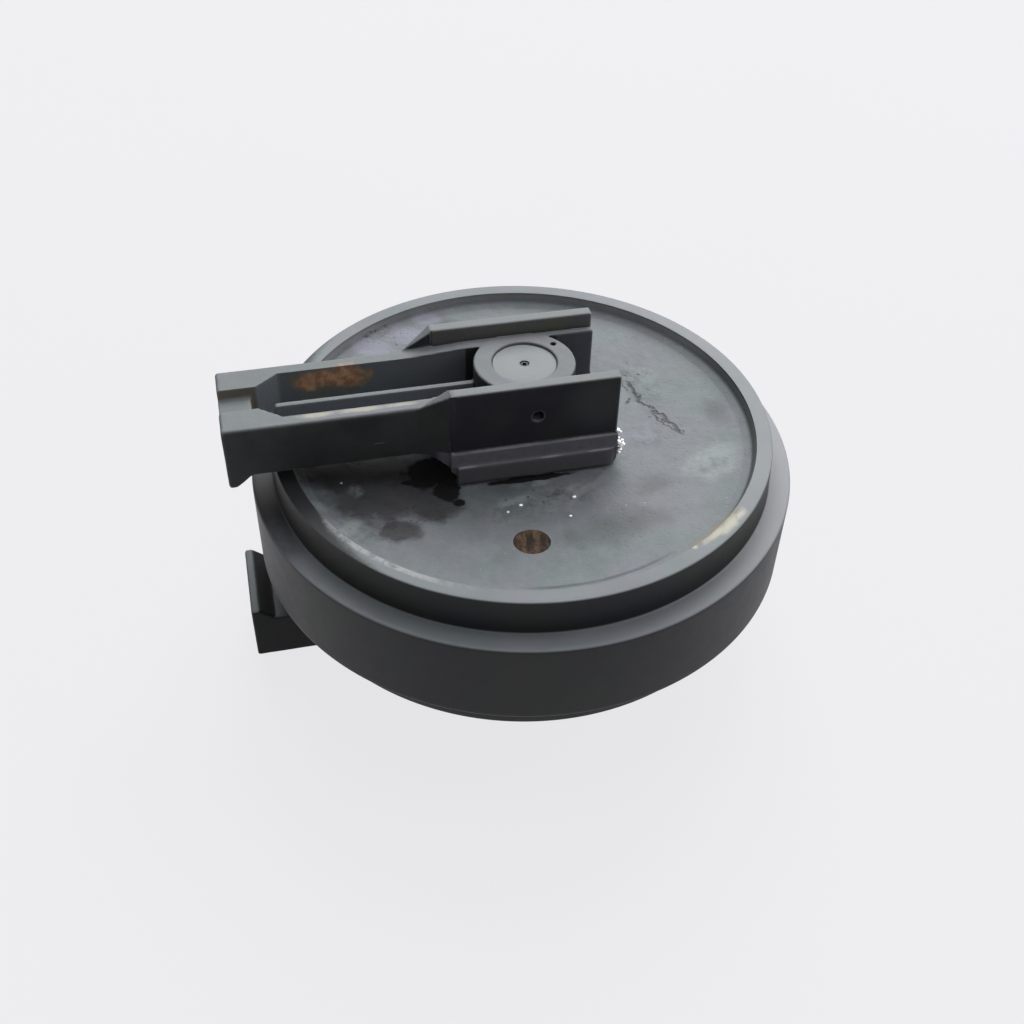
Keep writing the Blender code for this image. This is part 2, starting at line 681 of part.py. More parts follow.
def pocket_outline():
    """Plan of the arm's pocket: narrow at the groove, then full width up to the boss, joined on later."""
    end = -CAST_EDGE
    return [
        (GROOVE_END - OVERCUT, -GROOVE_HALF),
        (GROOVE_END, -GROOVE_HALF),
        (POCKET_START, -POCKET_HALF),
        (end, -POCKET_HALF),
        (end, POCKET_HALF),
        (POCKET_START, POCKET_HALF),
        (GROOVE_END, GROOVE_HALF),
        (GROOVE_END - OVERCUT, GROOVE_HALF),
    ]


def rib_mesh():
    """The rib along the pocket's middle, from a ramp behind the groove to the boss, with drafted sides."""
    root = POCKET_FLOOR - JOIN_DEPTH
    top = POCKET_FLOOR + RIB_RISE
    outline = [(RIB_START - RIB_RAMP, root), (RIB_END, root), (RIB_END, top), (RIB_START, top)]
    mesh = extruded_mesh("rib", outline, -RIB_HALF, RIB_HALF, "XZ")
    for vertex in mesh.vertices:
        if vertex.co.z < POCKET_FLOOR:
            vertex.co.y += math.copysign(RIB_DRAFT, vertex.co.y)
    return mesh


def boss_plan():
    """Plan of the boss: round, but flat where it would reach the slide plates."""
    flat = min(ARM_HALF - BOSS_FLAT_INSET, BOSS_RADIUS)
    turn = math.degrees(math.asin(flat / BOSS_RADIUS))
    count = round(AXLE_SIDES * turn / 180)
    front = arc((0, 0), BOSS_RADIUS, -turn, turn, count)
    return front + [(-x, -y) for x, y in front]


def bore_outline():
    top = BOSS_TOP + OVERCUT
    return [
        (0, top),
        (BORE_RADIUS + BOSS_CHAMFER, top),
        (BORE_RADIUS + BOSS_CHAMFER, BOSS_TOP),
        (BORE_RADIUS, BOSS_TOP - BOSS_CHAMFER),
        (BORE_RADIUS, 0),
        (0, 0),
    ]


def build_bracket():
    mesh = extruded_mesh("arm", arm_outline(), -ARM_HALF, ARM_HALF, "XZ", CAST_EDGE)
    bracket = add_part("upper_bracket", mesh, BRACKET_STEEL)
    above = PLATE_TOP + OVERCUT
    join(bracket, "foot", extruded_mesh("foot", foot_outline(), -FOOT_HALF, FOOT_HALF, "XZ"))
    join(bracket, "toe", extruded_mesh("toe", toe_outline(), BASE_BOTTOM, TOE_TOP))
    for side, name in ((-1, "right_flare"), (1, "left_flare")):
        join(bracket, name, flare_mesh(side))
    cut(bracket, "pocket", extruded_mesh("pocket", pocket_outline(), POCKET_FLOOR, above))
    groove = rectangle(ARM_END - OVERCUT, GROOVE_END, -GROOVE_HALF, GROOVE_HALF)
    cut(bracket, "groove", extruded_mesh("groove", groove, GROOVE_FLOOR, above))
    gap = rectangle(0, TOE_RIGHT + OVERCUT, -FRONT_GAP_HALF, FRONT_GAP_HALF)
    cut(bracket, "front_gap", extruded_mesh("front_gap", gap, FRONT_FLOOR, above))
    join(bracket, "rib", rib_mesh())
    boss = extruded_mesh("boss", boss_plan(), ARM_BOTTOM, BOSS_TOP, "XY", BOSS_CHAMFER)
    join(bracket, "boss", boss)
    skirt_radius = SEAL_SEAT_RADIUS + SKIRT_WALL
    skirt = rectangle(0, skirt_radius, SKIRT_BOTTOM, TOE_TOP - CAST_EDGE)
    join(bracket, "skirt", turned_mesh("skirt", skirt, SEAL_SIDES))
    seat = rectangle(0, SEAL_SEAT_RADIUS, SEAT_FLOOR, SEAT_CEILING)
    cut(bracket, "seal_seat", turned_mesh("seal_seat", seat, SEAL_SIDES))
    nose = rectangle(0, NOSE_RADIUS, BUSH_FLANGE_TOP + FIT_GAP, FRONT_FLOOR - CAST_EDGE)
    join(bracket, "nose", turned_mesh("nose", nose, AXLE_SIDES))
    cut(bracket, "bore", turned_mesh("bore", bore_outline(), AXLE_SIDES))
    cut(bracket, "pin_hole", pin_hole(1, PIN_HOLE_RADIUS, PIN_INNER_END))
    blind_start = (BLIND_HOLE_X, BLIND_HOLE_Y, BOSS_TOP - BLIND_HOLE_DEPTH)
    blind_end = (BLIND_HOLE_X, BLIND_HOLE_Y, BOSS_TOP + OVERCUT)
    blind = cylinder_mesh("blind", BLIND_HOLE_RADIUS, blind_start, blind_end, HOLE_SIDES)
    cut(bracket, "blind_hole", blind)
    yoke_height = (LIP_BOTTOM + GROOVE_FLOOR) / 2
    for side, name in ((-1, "yoke_hole_right"), (1, "yoke_hole_left")):
        y = side * YOKE_HOLE_SPACING / 2
        start = (ARM_END - OVERCUT, y, yoke_height)
        end = (ARM_END + YOKE_HOLE_DEPTH, y, yoke_height)
        cut(bracket, name, cylinder_mesh("yoke_hole", YOKE_HOLE_RADIUS, start, end, HOLE_SIDES))
    turn_over(bracket, "lower_bracket")


def build_slide_plates():
    for side, name, below in (
        (-1, "upper_slide_plate_right", "lower_slide_plate_left"),
        (1, "upper_slide_plate_left", "lower_slide_plate_right"),
    ):
        faces = sorted((side * PLATE_INNER, side * PLATE_OUTER))
        low = (PLATE_LEFT, faces[0], FOOT_TOP + FIT_GAP)
        high = (PLATE_RIGHT, faces[1], PLATE_TOP)
        plate = add_part(name, box_mesh(name, low, high, PLATE_EDGE), PLATE_STEEL)
        if side < 0:
            cut(plate, "pin_way", pin_hole(1, PLATE_HOLE_RADIUS, PLATE_INNER - OVERCUT))
        turn_over(plate, below)


def build_lock_pins():
    start = (0, -PIN_OUTER_END, PIN_HEIGHT)
    end = (0, -PIN_INNER_END, PIN_HEIGHT)
    pin = add_part(
        "upper_lock_pin", cylinder_mesh("lock_pin", PIN_RADIUS, start, end, HOLE_SIDES), PLUG_STEEL
    )
    turn_over(pin, "lower_lock_pin")


def shade_round_pieces():
    for part in PARTS.objects:
        part.data.shade_smooth()
        part.data.set_sharp_from_angle(angle=SMOOTH_ANGLE)


def main():
    build_axle()
    build_oil_plug()
    build_wheel()
    build_core_plugs()
    build_bushes()
    build_seals()
    build_bracket()
    build_slide_plates()
    build_lock_pins()
    shade_round_pieces()


main()
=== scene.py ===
# %% [markdown]
# # The front idler of an excavator
#
# The idler is the plain wheel at the front end of an excavator's track. It turns on a fixed axle, and two
# cast brackets carry the axle's ends. Their arms point back to the recoil spring, which pushes the whole
# group forwards and keeps the track tight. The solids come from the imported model. This lesson gives them
# the edges, the cast skin and the paint that one sees on the real part.

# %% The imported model
import math

import bmesh
import bpy
from mathutils import Matrix, Vector, noise


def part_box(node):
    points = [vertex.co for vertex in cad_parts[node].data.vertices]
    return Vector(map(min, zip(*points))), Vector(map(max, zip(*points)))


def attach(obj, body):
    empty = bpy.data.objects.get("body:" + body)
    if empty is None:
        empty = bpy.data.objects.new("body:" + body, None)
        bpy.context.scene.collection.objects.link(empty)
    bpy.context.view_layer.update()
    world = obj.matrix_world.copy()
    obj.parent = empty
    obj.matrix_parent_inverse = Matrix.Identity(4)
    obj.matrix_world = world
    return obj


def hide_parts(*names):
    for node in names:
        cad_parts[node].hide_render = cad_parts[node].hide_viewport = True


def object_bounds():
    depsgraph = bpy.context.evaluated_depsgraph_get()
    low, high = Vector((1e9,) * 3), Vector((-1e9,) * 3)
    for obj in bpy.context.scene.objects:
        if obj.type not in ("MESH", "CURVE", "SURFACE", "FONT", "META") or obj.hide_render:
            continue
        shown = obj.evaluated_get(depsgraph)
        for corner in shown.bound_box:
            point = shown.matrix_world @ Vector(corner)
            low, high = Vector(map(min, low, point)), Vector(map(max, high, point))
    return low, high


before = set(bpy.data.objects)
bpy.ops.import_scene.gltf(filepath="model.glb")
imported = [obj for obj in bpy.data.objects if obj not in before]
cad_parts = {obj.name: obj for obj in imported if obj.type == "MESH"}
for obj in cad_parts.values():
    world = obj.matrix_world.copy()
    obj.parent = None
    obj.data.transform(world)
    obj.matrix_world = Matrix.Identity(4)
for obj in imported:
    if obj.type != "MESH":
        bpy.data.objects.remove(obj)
cad_low, cad_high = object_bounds()
print("nodes in the packed model:", len(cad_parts))

# %% [markdown]
# Nearly all places below are read from the model's own nodes, so that each piece of the scene sits where
# its solid sits. The wheel gives the axis, the middle plane and the rim planes.

# %% Sizes read from the model
MM = 0.001
wheel_low, wheel_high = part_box("idler_wheel")
axle_low, axle_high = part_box("axle_shaft")
MIDDLE_Z = (wheel_low.z + wheel_high.z) / 2
WHEEL_HALF_WIDTH = (wheel_high.z - wheel_low.z) / 2
FLANGE_RADIUS = wheel_high.x
AXLE_RADIUS = axle_high.x
AXLE_HALF_LENGTH = (axle_high.z - axle_low.z) / 2
print(f"flange {2 * FLANGE_RADIUS / MM:.1f} mm across, wheel {2 * WHEEL_HALF_WIDTH / MM:.1f} mm wide")

# %% [markdown]
# The camera stands about 1.4 m away, a little to the left of the wheel's front, and looks down at 43
# degrees. Its lens and its slight tilt were found by fitting the wheel's circles in the photograph, so the
# frame needs no shift.

# %% Camera
CAMERA_PLACE = Vector((-0.25057, -0.97591, 1.04486))
CAMERA_AIM = Vector((-0.01867, -0.04178, 0.15480))
CAMERA_ROLL = math.radians(1.597)
FOCAL_PIXELS = 1279.17
FRAME_PIXELS = 1024
SENSOR_WIDTH = 36.0


def link_new(name, data):
    """A new object in the scene, for a mesh, a lamp or a camera."""
    made = bpy.data.objects.new(name, data)
    bpy.context.scene.collection.objects.link(made)
    return made


def make_camera():
    lens = bpy.data.cameras.new("camera")
    lens.sensor_width = SENSOR_WIDTH
    lens.lens = FOCAL_PIXELS / FRAME_PIXELS * SENSOR_WIDTH
    camera = link_new("camera", lens)
    look = (CAMERA_AIM - CAMERA_PLACE).to_track_quat("-Z", "Y").to_matrix().to_4x4()
    camera.matrix_world = Matrix.Translation(CAMERA_PLACE) @ look @ Matrix.Rotation(CAMERA_ROLL, 4, "Z")
    bpy.context.scene.camera = camera
    return camera


camera = make_camera()
print(f"lens {camera.data.lens:.2f} mm")

# %% [markdown]
# ## Light
#
# Dark paint with a slight gloss shows the sky as a pale sheen on every face that looks up, and nearly black
# on the faces that look sideways. One large soft panel behind the part stands for that sky. A weaker one
# overhead reaches into the corners behind the rims, and a third at the right lights the flange's edge.

# %% Lamps
WHEEL_CENTRE = Vector((0, 0, MIDDLE_Z))


def make_panel(name, bearing, elevation, distance, width, height, radiance):
    """A soft panel that looks at the wheel; bearing 0 is behind it and 90 at its right, in degrees."""
    turn, rise = math.radians(bearing), math.radians(elevation)
    way = Vector((math.sin(turn) * math.cos(rise), math.cos(turn) * math.cos(rise), math.sin(rise)))
    lamp = bpy.data.lights.new(name, "AREA")
    lamp.shape = "RECTANGLE"
    lamp.size = width
    lamp.size_y = height
    lamp.energy = radiance * math.pi * width * height
    panel = link_new(name, lamp)
    panel.location = WHEEL_CENTRE + way * distance
    panel.rotation_euler = (-way).to_track_quat("-Z", "Y").to_euler()
    return panel


make_panel("sky_panel", bearing=20, elevation=42, distance=11.0, width=10.5, height=8.0, radiance=4.4)
make_panel("top_panel", bearing=0, elevation=78, distance=9.0, width=6.0, height=6.0, radiance=1.7)
make_panel("right_panel", bearing=95, elevation=28, distance=7.0, width=3.2, height=2.6, radiance=3.5)
bpy.context.scene.view_settings.view_transform = "Standard"
print("lamps:", [lamp.name for lamp in bpy.data.lights])

# %% [markdown]
# ## Writing a material as arithmetic
#
# A shader's values are sockets joined by nodes. A small class wraps a socket and gives it Python's
# operators, so that a mask can be written as `grime * (1 - polish)` and adds its own Math nodes. Every
# other node comes from one method of the class below it, which sets the node's options first and then its
# inputs.

# %% Sockets with operators
PATCH_DEPTH = 30 * MM
RAGGEDNESS = 1.2


class Value:
    """A socket that holds a number at each point of a surface."""

    def __init__(self, tree, socket):
        self.tree = tree
        self.socket = socket

    def math(self, operation, *others):
        return self.tree.math(operation, self, *others)

    def __add__(self, other):
        return self.math("ADD", other)

    def __sub__(self, other):
        return self.math("SUBTRACT", other)

    def __rsub__(self, other):
        return self.tree.math("SUBTRACT", other, self)

    def __mul__(self, other):
        return self.math("MULTIPLY", other)

    __radd__ = __add__
    __rmul__ = __mul__

    def __pow__(self, other):
        return self.math("POWER", other)

    def __abs__(self):
        return self.math("ABSOLUTE")

    def above(self, low, high):
        """0 below low, 1 above high and smooth between them; the other way round if high is the lower."""
        node = self.tree.node(
            "ShaderNodeMapRange",
            {"interpolation_type": "SMOOTHSTEP"},
            {"Value": self, "From Min": low, "From Max": high},
        )
        return Value(self.tree, node.outputs["Result"])

    def band(self, middle, half, edge):
        """1 within half of the middle, falling to 0 over the edge's width."""
        return abs(self - middle).above(half + edge, half)


class Tree:
    """A node tree, with one method that feeds any socket and one that makes any node."""

    def __init__(self, tree):
        self.tree = tree

    def feed(self, target, item):
        if isinstance(item, Value):
            self.tree.links.new(item.socket, target)
        elif isinstance(item, bpy.types.NodeSocket):
            self.tree.links.new(item, target)
        elif isinstance(item, tuple) and len(item) == 3 and target.type == "RGBA":
            target.default_value = (*item, 1.0)
        else:
            target.default_value = item

    def node(self, kind, settings, inputs):
        made = self.tree.nodes.new(kind)
        for name, setting in settings.items():
            setattr(made, name, setting)
        for name, item in inputs.items():
            self.feed(made.inputs[name], item)
        return made

    def math(self, operation, *items):
        made = self.node("ShaderNodeMath", {"operation": operation}, dict(enumerate(items)))
        return Value(self, made.outputs[0])

    def looked_at(self):
        """1 for what the camera, a mirror or a glass looks at, and 0 for light on its way."""
        rays = self.node("ShaderNodeLightPath", {}, {})
        kinds = ("Is Camera Ray", "Is Glossy Ray", "Is Transmission Ray")
        camera_ray, glossy_ray, glass_ray = (Value(self, rays.outputs[kind]) for kind in kinds)
        return camera_ray + glossy_ray + glass_ray


class Paint(Tree):
    """One material, with the methods that build its nodes."""

    def __init__(self, name):
        self.material = bpy.data.materials.new(name)
        self.material.use_nodes = True
        super().__init__(self.material.node_tree)
        self.shader = self.tree.nodes["Principled BSDF"]
        place = self.node("ShaderNodeTexCoord", {}, {})
        self.point = place.outputs["Object"]
        self.facing = place.outputs["Normal"]
        self.colour = None

    def part(self, vector, axis):
        split = self.node("ShaderNodeSeparateXYZ", {}, {"Vector": vector})
        return Value(self, split.outputs[axis])

    def grain(self, scale, detail=4.0, rough=0.55, stretch=(1, 1, 1), shift=(0, 0, 0)):
        """Soft noise between 0 and 1, by its scale per metre."""
        place = self.node(
            "ShaderNodeMapping", {}, {"Vector": self.point, "Scale": stretch, "Location": shift}
        )
        made = self.node(
            "ShaderNodeTexNoise",
            {},
            {"Vector": place.outputs[0], "Scale": scale, "Detail": detail, "Roughness": rough},
        )
        return Value(self, made.outputs[0])

    def pits(self, scale, low, high):
        """Small round marks, 1 at their middles."""
        made = self.node(
            "ShaderNodeTexVoronoi", {}, {"Vector": self.point, "Scale": scale, "Randomness": 1.0}
        )
        return Value(self, made.outputs["Distance"]).above(high, low)

    def spot(self, centre, radii, softness, ragged=None, turn=0.0):
        """1 inside an ellipsoid about a point, fading out over a share of its size; turned about Z."""
        place = self.node(
            "ShaderNodeMapping",
            {"vector_type": "TEXTURE"},
            {"Vector": self.point, "Location": centre, "Rotation": (0, 0, turn), "Scale": radii},
        )
        size = self.node("ShaderNodeVectorMath", {"operation": "LENGTH"}, {0: place.outputs[0]})
        far = Value(self, size.outputs["Value"])
        if ragged is not None:
            far = far + (ragged - 0.5) * RAGGEDNESS
        return far.above(1.0, 1.0 - softness)

    def patches(self, places, height, softness, ragged):
        """1 inside any of several flat patches: centre, half sizes in millimetres and turn in degrees."""
        spots = []
        for (x, y), (long, wide), turn in places:
            centre = (x * MM, y * MM, height)
            radii = (long * MM, wide * MM, PATCH_DEPTH)
            spots.append(self.spot(centre, radii, softness, ragged, math.radians(turn)))
        return strongest(*spots)

    def blend(self, share, below, above):
        """Mixes two colours by a share."""
        made = self.node(
            "ShaderNodeMix", {"data_type": "RGBA"}, {"Factor": share, 6: below, 7: above}
        )
        return made.outputs[2]

    def cover(self, share, tint):
        """Lays a tint over the colour so far."""
        self.colour = self.blend(share, self.colour, tint)

    def height(self, value, depth, after=None):
        """A Bump node for a height in metres, on top of an earlier one."""
        inputs = {"Height": value * depth, "Strength": 1.0, "Distance": 1.0}
        if after is not None:
            inputs["Normal"] = after
        return self.node("ShaderNodeBump", {}, inputs).outputs[0]

    def finish(self, colour, roughness, metallic=0.0, normal=None, specular=0.5):
        self.feed(self.shader.inputs["Base Color"], colour)
        self.feed(self.shader.inputs["Roughness"], roughness)
        self.feed(self.shader.inputs["Metallic"], metallic)
        self.shader.inputs["Specular IOR Level"].default_value = specular
        if normal is not None:
            self.feed(self.shader.inputs["Normal"], normal)
        return self.material


def strongest(*shares):
    """The largest of several masks at each point."""
    found = shares[0]
    for share in shares[1:]:
        found = found.math("MAXIMUM", share)
    return found


print("helpers for materials are ready")

# %% [markdown]
# The floor is a plain pale sheet under the lower slide plates' edges, on which the part stands. A floor
# that is lit only from behind the part would show a long grey shadow. So the camera sees mostly an even
# pale glow there, and a smaller share of the real light and shadow. The world is as pale to the eye, but
# gives less light.

# %% Floor and world
FLOOR_SIZE = 40.0
FLOOR_GAP = 0.2 * MM
FLOOR_TINTS = ((0.44, 0.44, 0.45), (0.47, 0.47, 0.475))
FLOOR_GLOW = (0.948, 0.939, 0.967)
GLOW_SHARE = 0.82
HORIZON = (0.830, 0.822, 0.848)
SKY_STRENGTH = 0.33
DARK_SIDE = 0.1


def mesh_from(work, name):
    """Turns a finished bmesh into a mesh."""
    mesh = bpy.data.meshes.new(name)
    work.to_mesh(mesh)
    work.free()
    return mesh


def make_floor():
    paint = Paint("pale_floor")
    tint = paint.blend(paint.grain(3.0), *FLOOR_TINTS)
    material = paint.finish(tint, 0.9, specular=0.1)
    tone = paint.node("ShaderNodeEmission", {}, {"Color": FLOOR_GLOW, "Strength": 1.0})
    share = paint.looked_at() * GLOW_SHARE
    mixed = paint.node(
        "ShaderNodeMixShader", {}, {0: share, 1: paint.shader.outputs[0], 2: tone.outputs[0]}
    )
    paint.feed(paint.tree.nodes["Material Output"].inputs["Surface"], mixed.outputs[0])
    work = bmesh.new()
    bmesh.ops.create_grid(work, x_segments=4, y_segments=4, size=FLOOR_SIZE / 2)
    floor = link_new("floor", mesh_from(work, "floor"))
    floor.location.z = cad_low.z - FLOOR_GAP
    floor.data.materials.append(material)
    return floor


def make_world():
    """Even for what looks at it; as a light it is weak, and weaker still on the left."""
    world = bpy.data.worlds.new("even_sky")
    world.use_nodes = True
    tree = Tree(world.node_tree)
    way = tree.node("ShaderNodeTexCoord", {}, {})
    split = tree.node("ShaderNodeSeparateXYZ", {}, {"Vector": way.outputs["Generated"]})
    right = Value(tree, split.outputs["X"]).above(-0.8, 0.4)
    light = (right * (1 - DARK_SIDE) + DARK_SIDE) * SKY_STRENGTH
    seen = tree.looked_at()
    sky = world.node_tree.nodes["Background"]
    tree.feed(sky.inputs["Color"], HORIZON)
    tree.feed(sky.inputs["Strength"], seen + light * (1 - seen))
    bpy.context.scene.world = world


floor = make_floor()
make_world()
print(f"floor at {floor.location.z / MM:.1f} mm")

# %% [markdown]
# ## The wheel's finish
#
# The wheel is one steel casting, painted a dark blue-grey. Sand has left the webs rough and mottled, and a
# flash line of the mould crosses the upper web. Rim and flange were turned before painting, so they are
# smooth. Dust settles on what looks up, and those faces also carry a painted sheen, so a mask from the
# surface's own direction lightens them.

# %% Paint, dust and painted sheen that all castings share
DARK_GREEN = (0.018, 0.021, 0.017)
DARK_BLUE = (0.016, 0.017, 0.023)
# Pale tints of dust and painted sheen on faces that look up
TEAL_DUST_AND_SHEEN = (0.246, 0.284, 0.292)
LILAC_DUST_AND_SHEEN = (0.264, 0.280, 0.308)
TWO_TINTS = (0.38, 0.62)
# Pointiness at which edges are lightened as rubbed paint and painted highlight
EDGE_POINTINESS = (0.51, 0.56)


def dark_paint(paint):
    """The paint itself, greenish in some places and bluish in others."""
    return paint.blend(paint.grain(6.0, 2.0).above(*TWO_TINTS), DARK_GREEN, DARK_BLUE)


def pale_dust(paint):
    """Dust and a painted sheen on the paint, whose tint changes from hand to hand."""
    tints = paint.grain(13.0, 3.0, 0.6, (1, 1, 1), (3, 5, 0)).above(*TWO_TINTS)
    return paint.blend(tints, TEAL_DUST_AND_SHEEN, LILAC_DUST_AND_SHEEN)


def worn_and_highlit_edges(paint):
    """Outer edges, where paint is rubbed thin and a painted highlight is laid."""
    shape = paint.node("ShaderNodeNewGeometry", {}, {})
    return Value(paint, shape.outputs["Pointiness"]).above(*EDGE_POINTINESS)


def dust_on_top(paint, low, high):
    """1 on what looks up and 0 on what looks sideways or down, where settled dirt and a painted sheen
    lighten the paint.
    """
    return paint.part(paint.facing, "Z").above(low, high)


print("dark paint", DARK_GREEN, DARK_BLUE)

# %% [markdown]
# The marks on the upper web were read off the photograph. Each is a soft ellipse in the wheel's plan, with
# its centre and half sizes in millimetres and its turn in degrees, and noise makes its border ragged.

# %% Patches on the upper web
# Near-black painted shade under the arm's heel beside the foot, and a strip of it under the foot's edge
FOOT_SHADE_PATCHES = (
    ((-101, -38), (28, 27), 0),
    ((-92, -66), (16, 17), -20),
    ((-81, -86), (7, 6), 10),
    ((-124, -47), (9, 4), 0),
    ((-8, -67), (46, 5), 0),
)
# Grime mixed with painted shade in front of and under the arm
GRIME_AND_SHADE_PATCHES = (
    ((-150, -56), (78, 64), 0),
    ((-112, -84), (38, 32), 0),
    ((-142, -116), (24, 20), -10),
    ((-195, -5), (60, 50), 0),
)
# Painted shade on the web under the arm
ARM_SHADE_PATCHES = (
    ((-190, -10), (70, 46), 0),
    ((-140, -18), (56, 40), 0),
)
FAINT_PATCHES = (
    ((-22, -74), (70, 20), 5),
    ((205, -8), (22, 30), 0),
    ((107, -100), (34, 26), 40),
    ((-45, 207), (26, 12), 8),
    ((60, -150), (90, 30), 10),
)
PALE_PATCHES = (
    ((-190, -106), (20, 12), 30),
    ((-178, -52), (12, 14), 0),
    ((-213, -72), (16, 8), -55),
    ((-4, -75), (27, 7), 4),
    ((22, -87), (24, 9), 5),
    ((-32, -95), (27, 6), 8),
    ((175, -80), (40, 30), 30),
)
LILAC_PATCHES = (
    ((-128, 176), (34, 22), -15),
    ((-88, 190), (30, 22), -20),
    ((-60, 215), (22, 12), -15),
)
ROUGH_PATCHES = (
    ((145, 62), (26, 55), 10),
    ((128, -28), (24, 15), 0),
    ((-110, 190), (80, 26), -15),
    ((-150, -90), (80, 50), 10),
    ((-10, -100), (75, 28), 4),
)
CHALK_PATCHES = (
    ((112, -207), (5, 4), 30),
    ((138, -194), (26, 5), 32),
    ((154, -185), (26, 8), 38),
    ((168, -174), (15, 6), 45),
)
CHALK_STAIN_PATCHES = (
    ((122, -194), (32, 8), 32),
    ((146, -182), (36, 11), 42),
)
print("patches of painted shade and grime:", len(FOOT_SHADE_PATCHES + GRIME_AND_SHADE_PATCHES + ARM_SHADE_PATCHES + FAINT_PATCHES))

# %% [markdown]
# The parts of the wheel are masks as well: the web inside the rims, the upper side and the flange. They and
# the noises that several layers need are made once and kept on the paint.

# %% Places and noises on the wheel
RIM_INNER_RADIUS = 234.3 * MM
WEB_EDGE_RADIUS = 232 * MM
WHEEL_TOP = MIDDLE_Z + WHEEL_HALF_WIDTH
WEB_LEVEL = WHEEL_TOP - 16 * MM
FLANGE_LEVEL = WHEEL_TOP - 36 * MM


def begin_wheel_paint():
    paint = Paint("wheel_paint")
    paint.x, paint.y, paint.z = (paint.part(paint.point, axis) for axis in "XYZ")
    paint.radius = (paint.x * paint.x + paint.y * paint.y) ** 0.5
    paint.turn = paint.y.math("ARCTAN2", paint.x)
    paint.web = paint.radius.above(WEB_EDGE_RADIUS + 2 * MM, WEB_EDGE_RADIUS)
    paint.upper = paint.z.above(MIDDLE_Z, MIDDLE_Z + 10 * MM)
    paint.upper_web = paint.web * paint.upper
    paint.flange = paint.z.above(FLANGE_LEVEL + 2 * MM, FLANGE_LEVEL)
    paint.cloud = paint.grain(16.0, 5.0, 0.6)
    paint.blot = paint.grain(38.0, 4.0, 0.6)
    paint.mottle = paint.grain(60.0, 6.0, 0.68)
    paint.rough = paint.patches(ROUGH_PATCHES, WEB_LEVEL, 0.7, paint.blot) * paint.upper_web
    paint.dust = dust_on_top(paint, 0.10, 0.92)
    return paint


print(f"web at {WEB_LEVEL / MM:.1f} mm, flange at {FLANGE_LEVEL / MM:.1f} mm")

# %% [markdown]
# The first layer is dust with a painted sheen over the dark paint, with painted light added on the flange,
# which the rim shades, and most uneven on the webs. Grime mixed with painted shade, the arm's painted
# shade and paler wear come next, each as one call with its patches, softness, tint and strength.

# %% Dust, painted sheen, grime, painted shade and wear on the web
DUST_AND_SHEEN_SHARE = 0.68
# Painted light on the flange, which the rim shades
FLANGE_PAINTED_LIGHT = 0.22
GRIME_AND_SHADE_TINT = (0.052, 0.050, 0.053)
ARM_SHADE_TINT = (0.015, 0.018, 0.015)
PALE_TINT = (0.33, 0.37, 0.37)
LILAC_TINT = (0.31, 0.32, 0.40)
LUMP_TINT = (0.055, 0.058, 0.060)


def add_wheel_dust(paint):
    # Painted light lifts the flange; dust and a painted sheen lighten what looks up
    flange_painted_light = paint.z.above(FLANGE_LEVEL, FLANGE_LEVEL - 2 * MM) * FLANGE_PAINTED_LIGHT
    uneven = (paint.mottle - 0.5) * (0.5 * paint.web + 1.6 * paint.rough)
    film = paint.dust * (DUST_AND_SHEEN_SHARE + flange_painted_light + 0.34 * paint.cloud + uneven)
    paint.colour = paint.blend(film, dark_paint(paint), pale_dust(paint))


def mark_web(paint, patches, softness, tint, share, ragged=None):
    """Tints the upper web inside some patches."""
    inside = paint.patches(patches, WEB_LEVEL, softness, ragged or paint.blot) * paint.upper_web
    paint.cover(inside * share, tint)
    return inside


def add_web_marks_and_shade(paint):
    uneven = paint.mottle - 0.45
    mark_web(paint, FAINT_PATCHES, 0.95, GRIME_AND_SHADE_TINT, 0.40 + 0.6 * uneven)
    # Grime with painted shade, then the arm's painted shade
    mark_web(paint, GRIME_AND_SHADE_PATCHES, 0.45, GRIME_AND_SHADE_TINT, 0.80 + 0.8 * uneven)
    mark_web(paint, ARM_SHADE_PATCHES, 0.9, ARM_SHADE_TINT, 0.95, paint.cloud)
    mark_web(paint, PALE_PATCHES, 0.6, PALE_TINT, paint.mottle.above(0.35, 0.6) * 0.85)
    mark_web(paint, LILAC_PATCHES, 0.6, LILAC_TINT, 0.7)
    paint.lumps = paint.pits(130.0, 0.08, 0.30) * paint.rough * paint.blot.above(0.45, 0.6)
    paint.cover(paint.lumps * 0.75, LUMP_TINT)


print("layers for the web are ready")

# %% [markdown]
# The flash line is where the two halves of the mould met. Noise is added to the distance from a straight
# line before a narrow band of it is taken, which makes a crack that wanders, and a second noise makes its
# short branches. A dark painted line, the painted shade of a shallow crease, runs round the web's front
# near the rim.

# %% Flash line and crease
SEAM_LEAN = 0.325
SEAM_PLACE = 148.5 * MM
SEAM_WANDER = 34 * MM
SEAM_SHIVER = 6 * MM
BRANCH_WANDER = 60 * MM
SEAM_TINT = (0.032, 0.034, 0.038)
CREASE_RADIUS = 219 * MM
CREASE_SHADE_TINT = (0.060, 0.064, 0.068)


def add_seam(paint):
    ahead = paint.x + paint.y * SEAM_LEAN - SEAM_PLACE
    wander = (paint.grain(45.0, 4.0) - 0.5) * SEAM_WANDER + (paint.grain(150.0, 3.0) - 0.5) * SEAM_SHIVER
    crack = (ahead + wander).band(0.0, 1.0 * MM, 2.6 * MM) * paint.mottle.above(0.36, 0.46)
    beside = ahead + (paint.grain(52.0, 4.0, 0.6, (1, 1, 1), (5, 2, 0)) - 0.5) * BRANCH_WANDER
    branches = beside.band(-3 * MM, 0.3 * MM, 1.6 * MM) * paint.blot.above(0.50, 0.56)
    reach = paint.y.above(-38 * MM, -26 * MM) * paint.y.above(72 * MM, 58 * MM) * paint.upper_web
    paint.seam = strongest(crack, branches) * reach
    paint.cover(paint.seam * 0.62, SEAM_TINT)


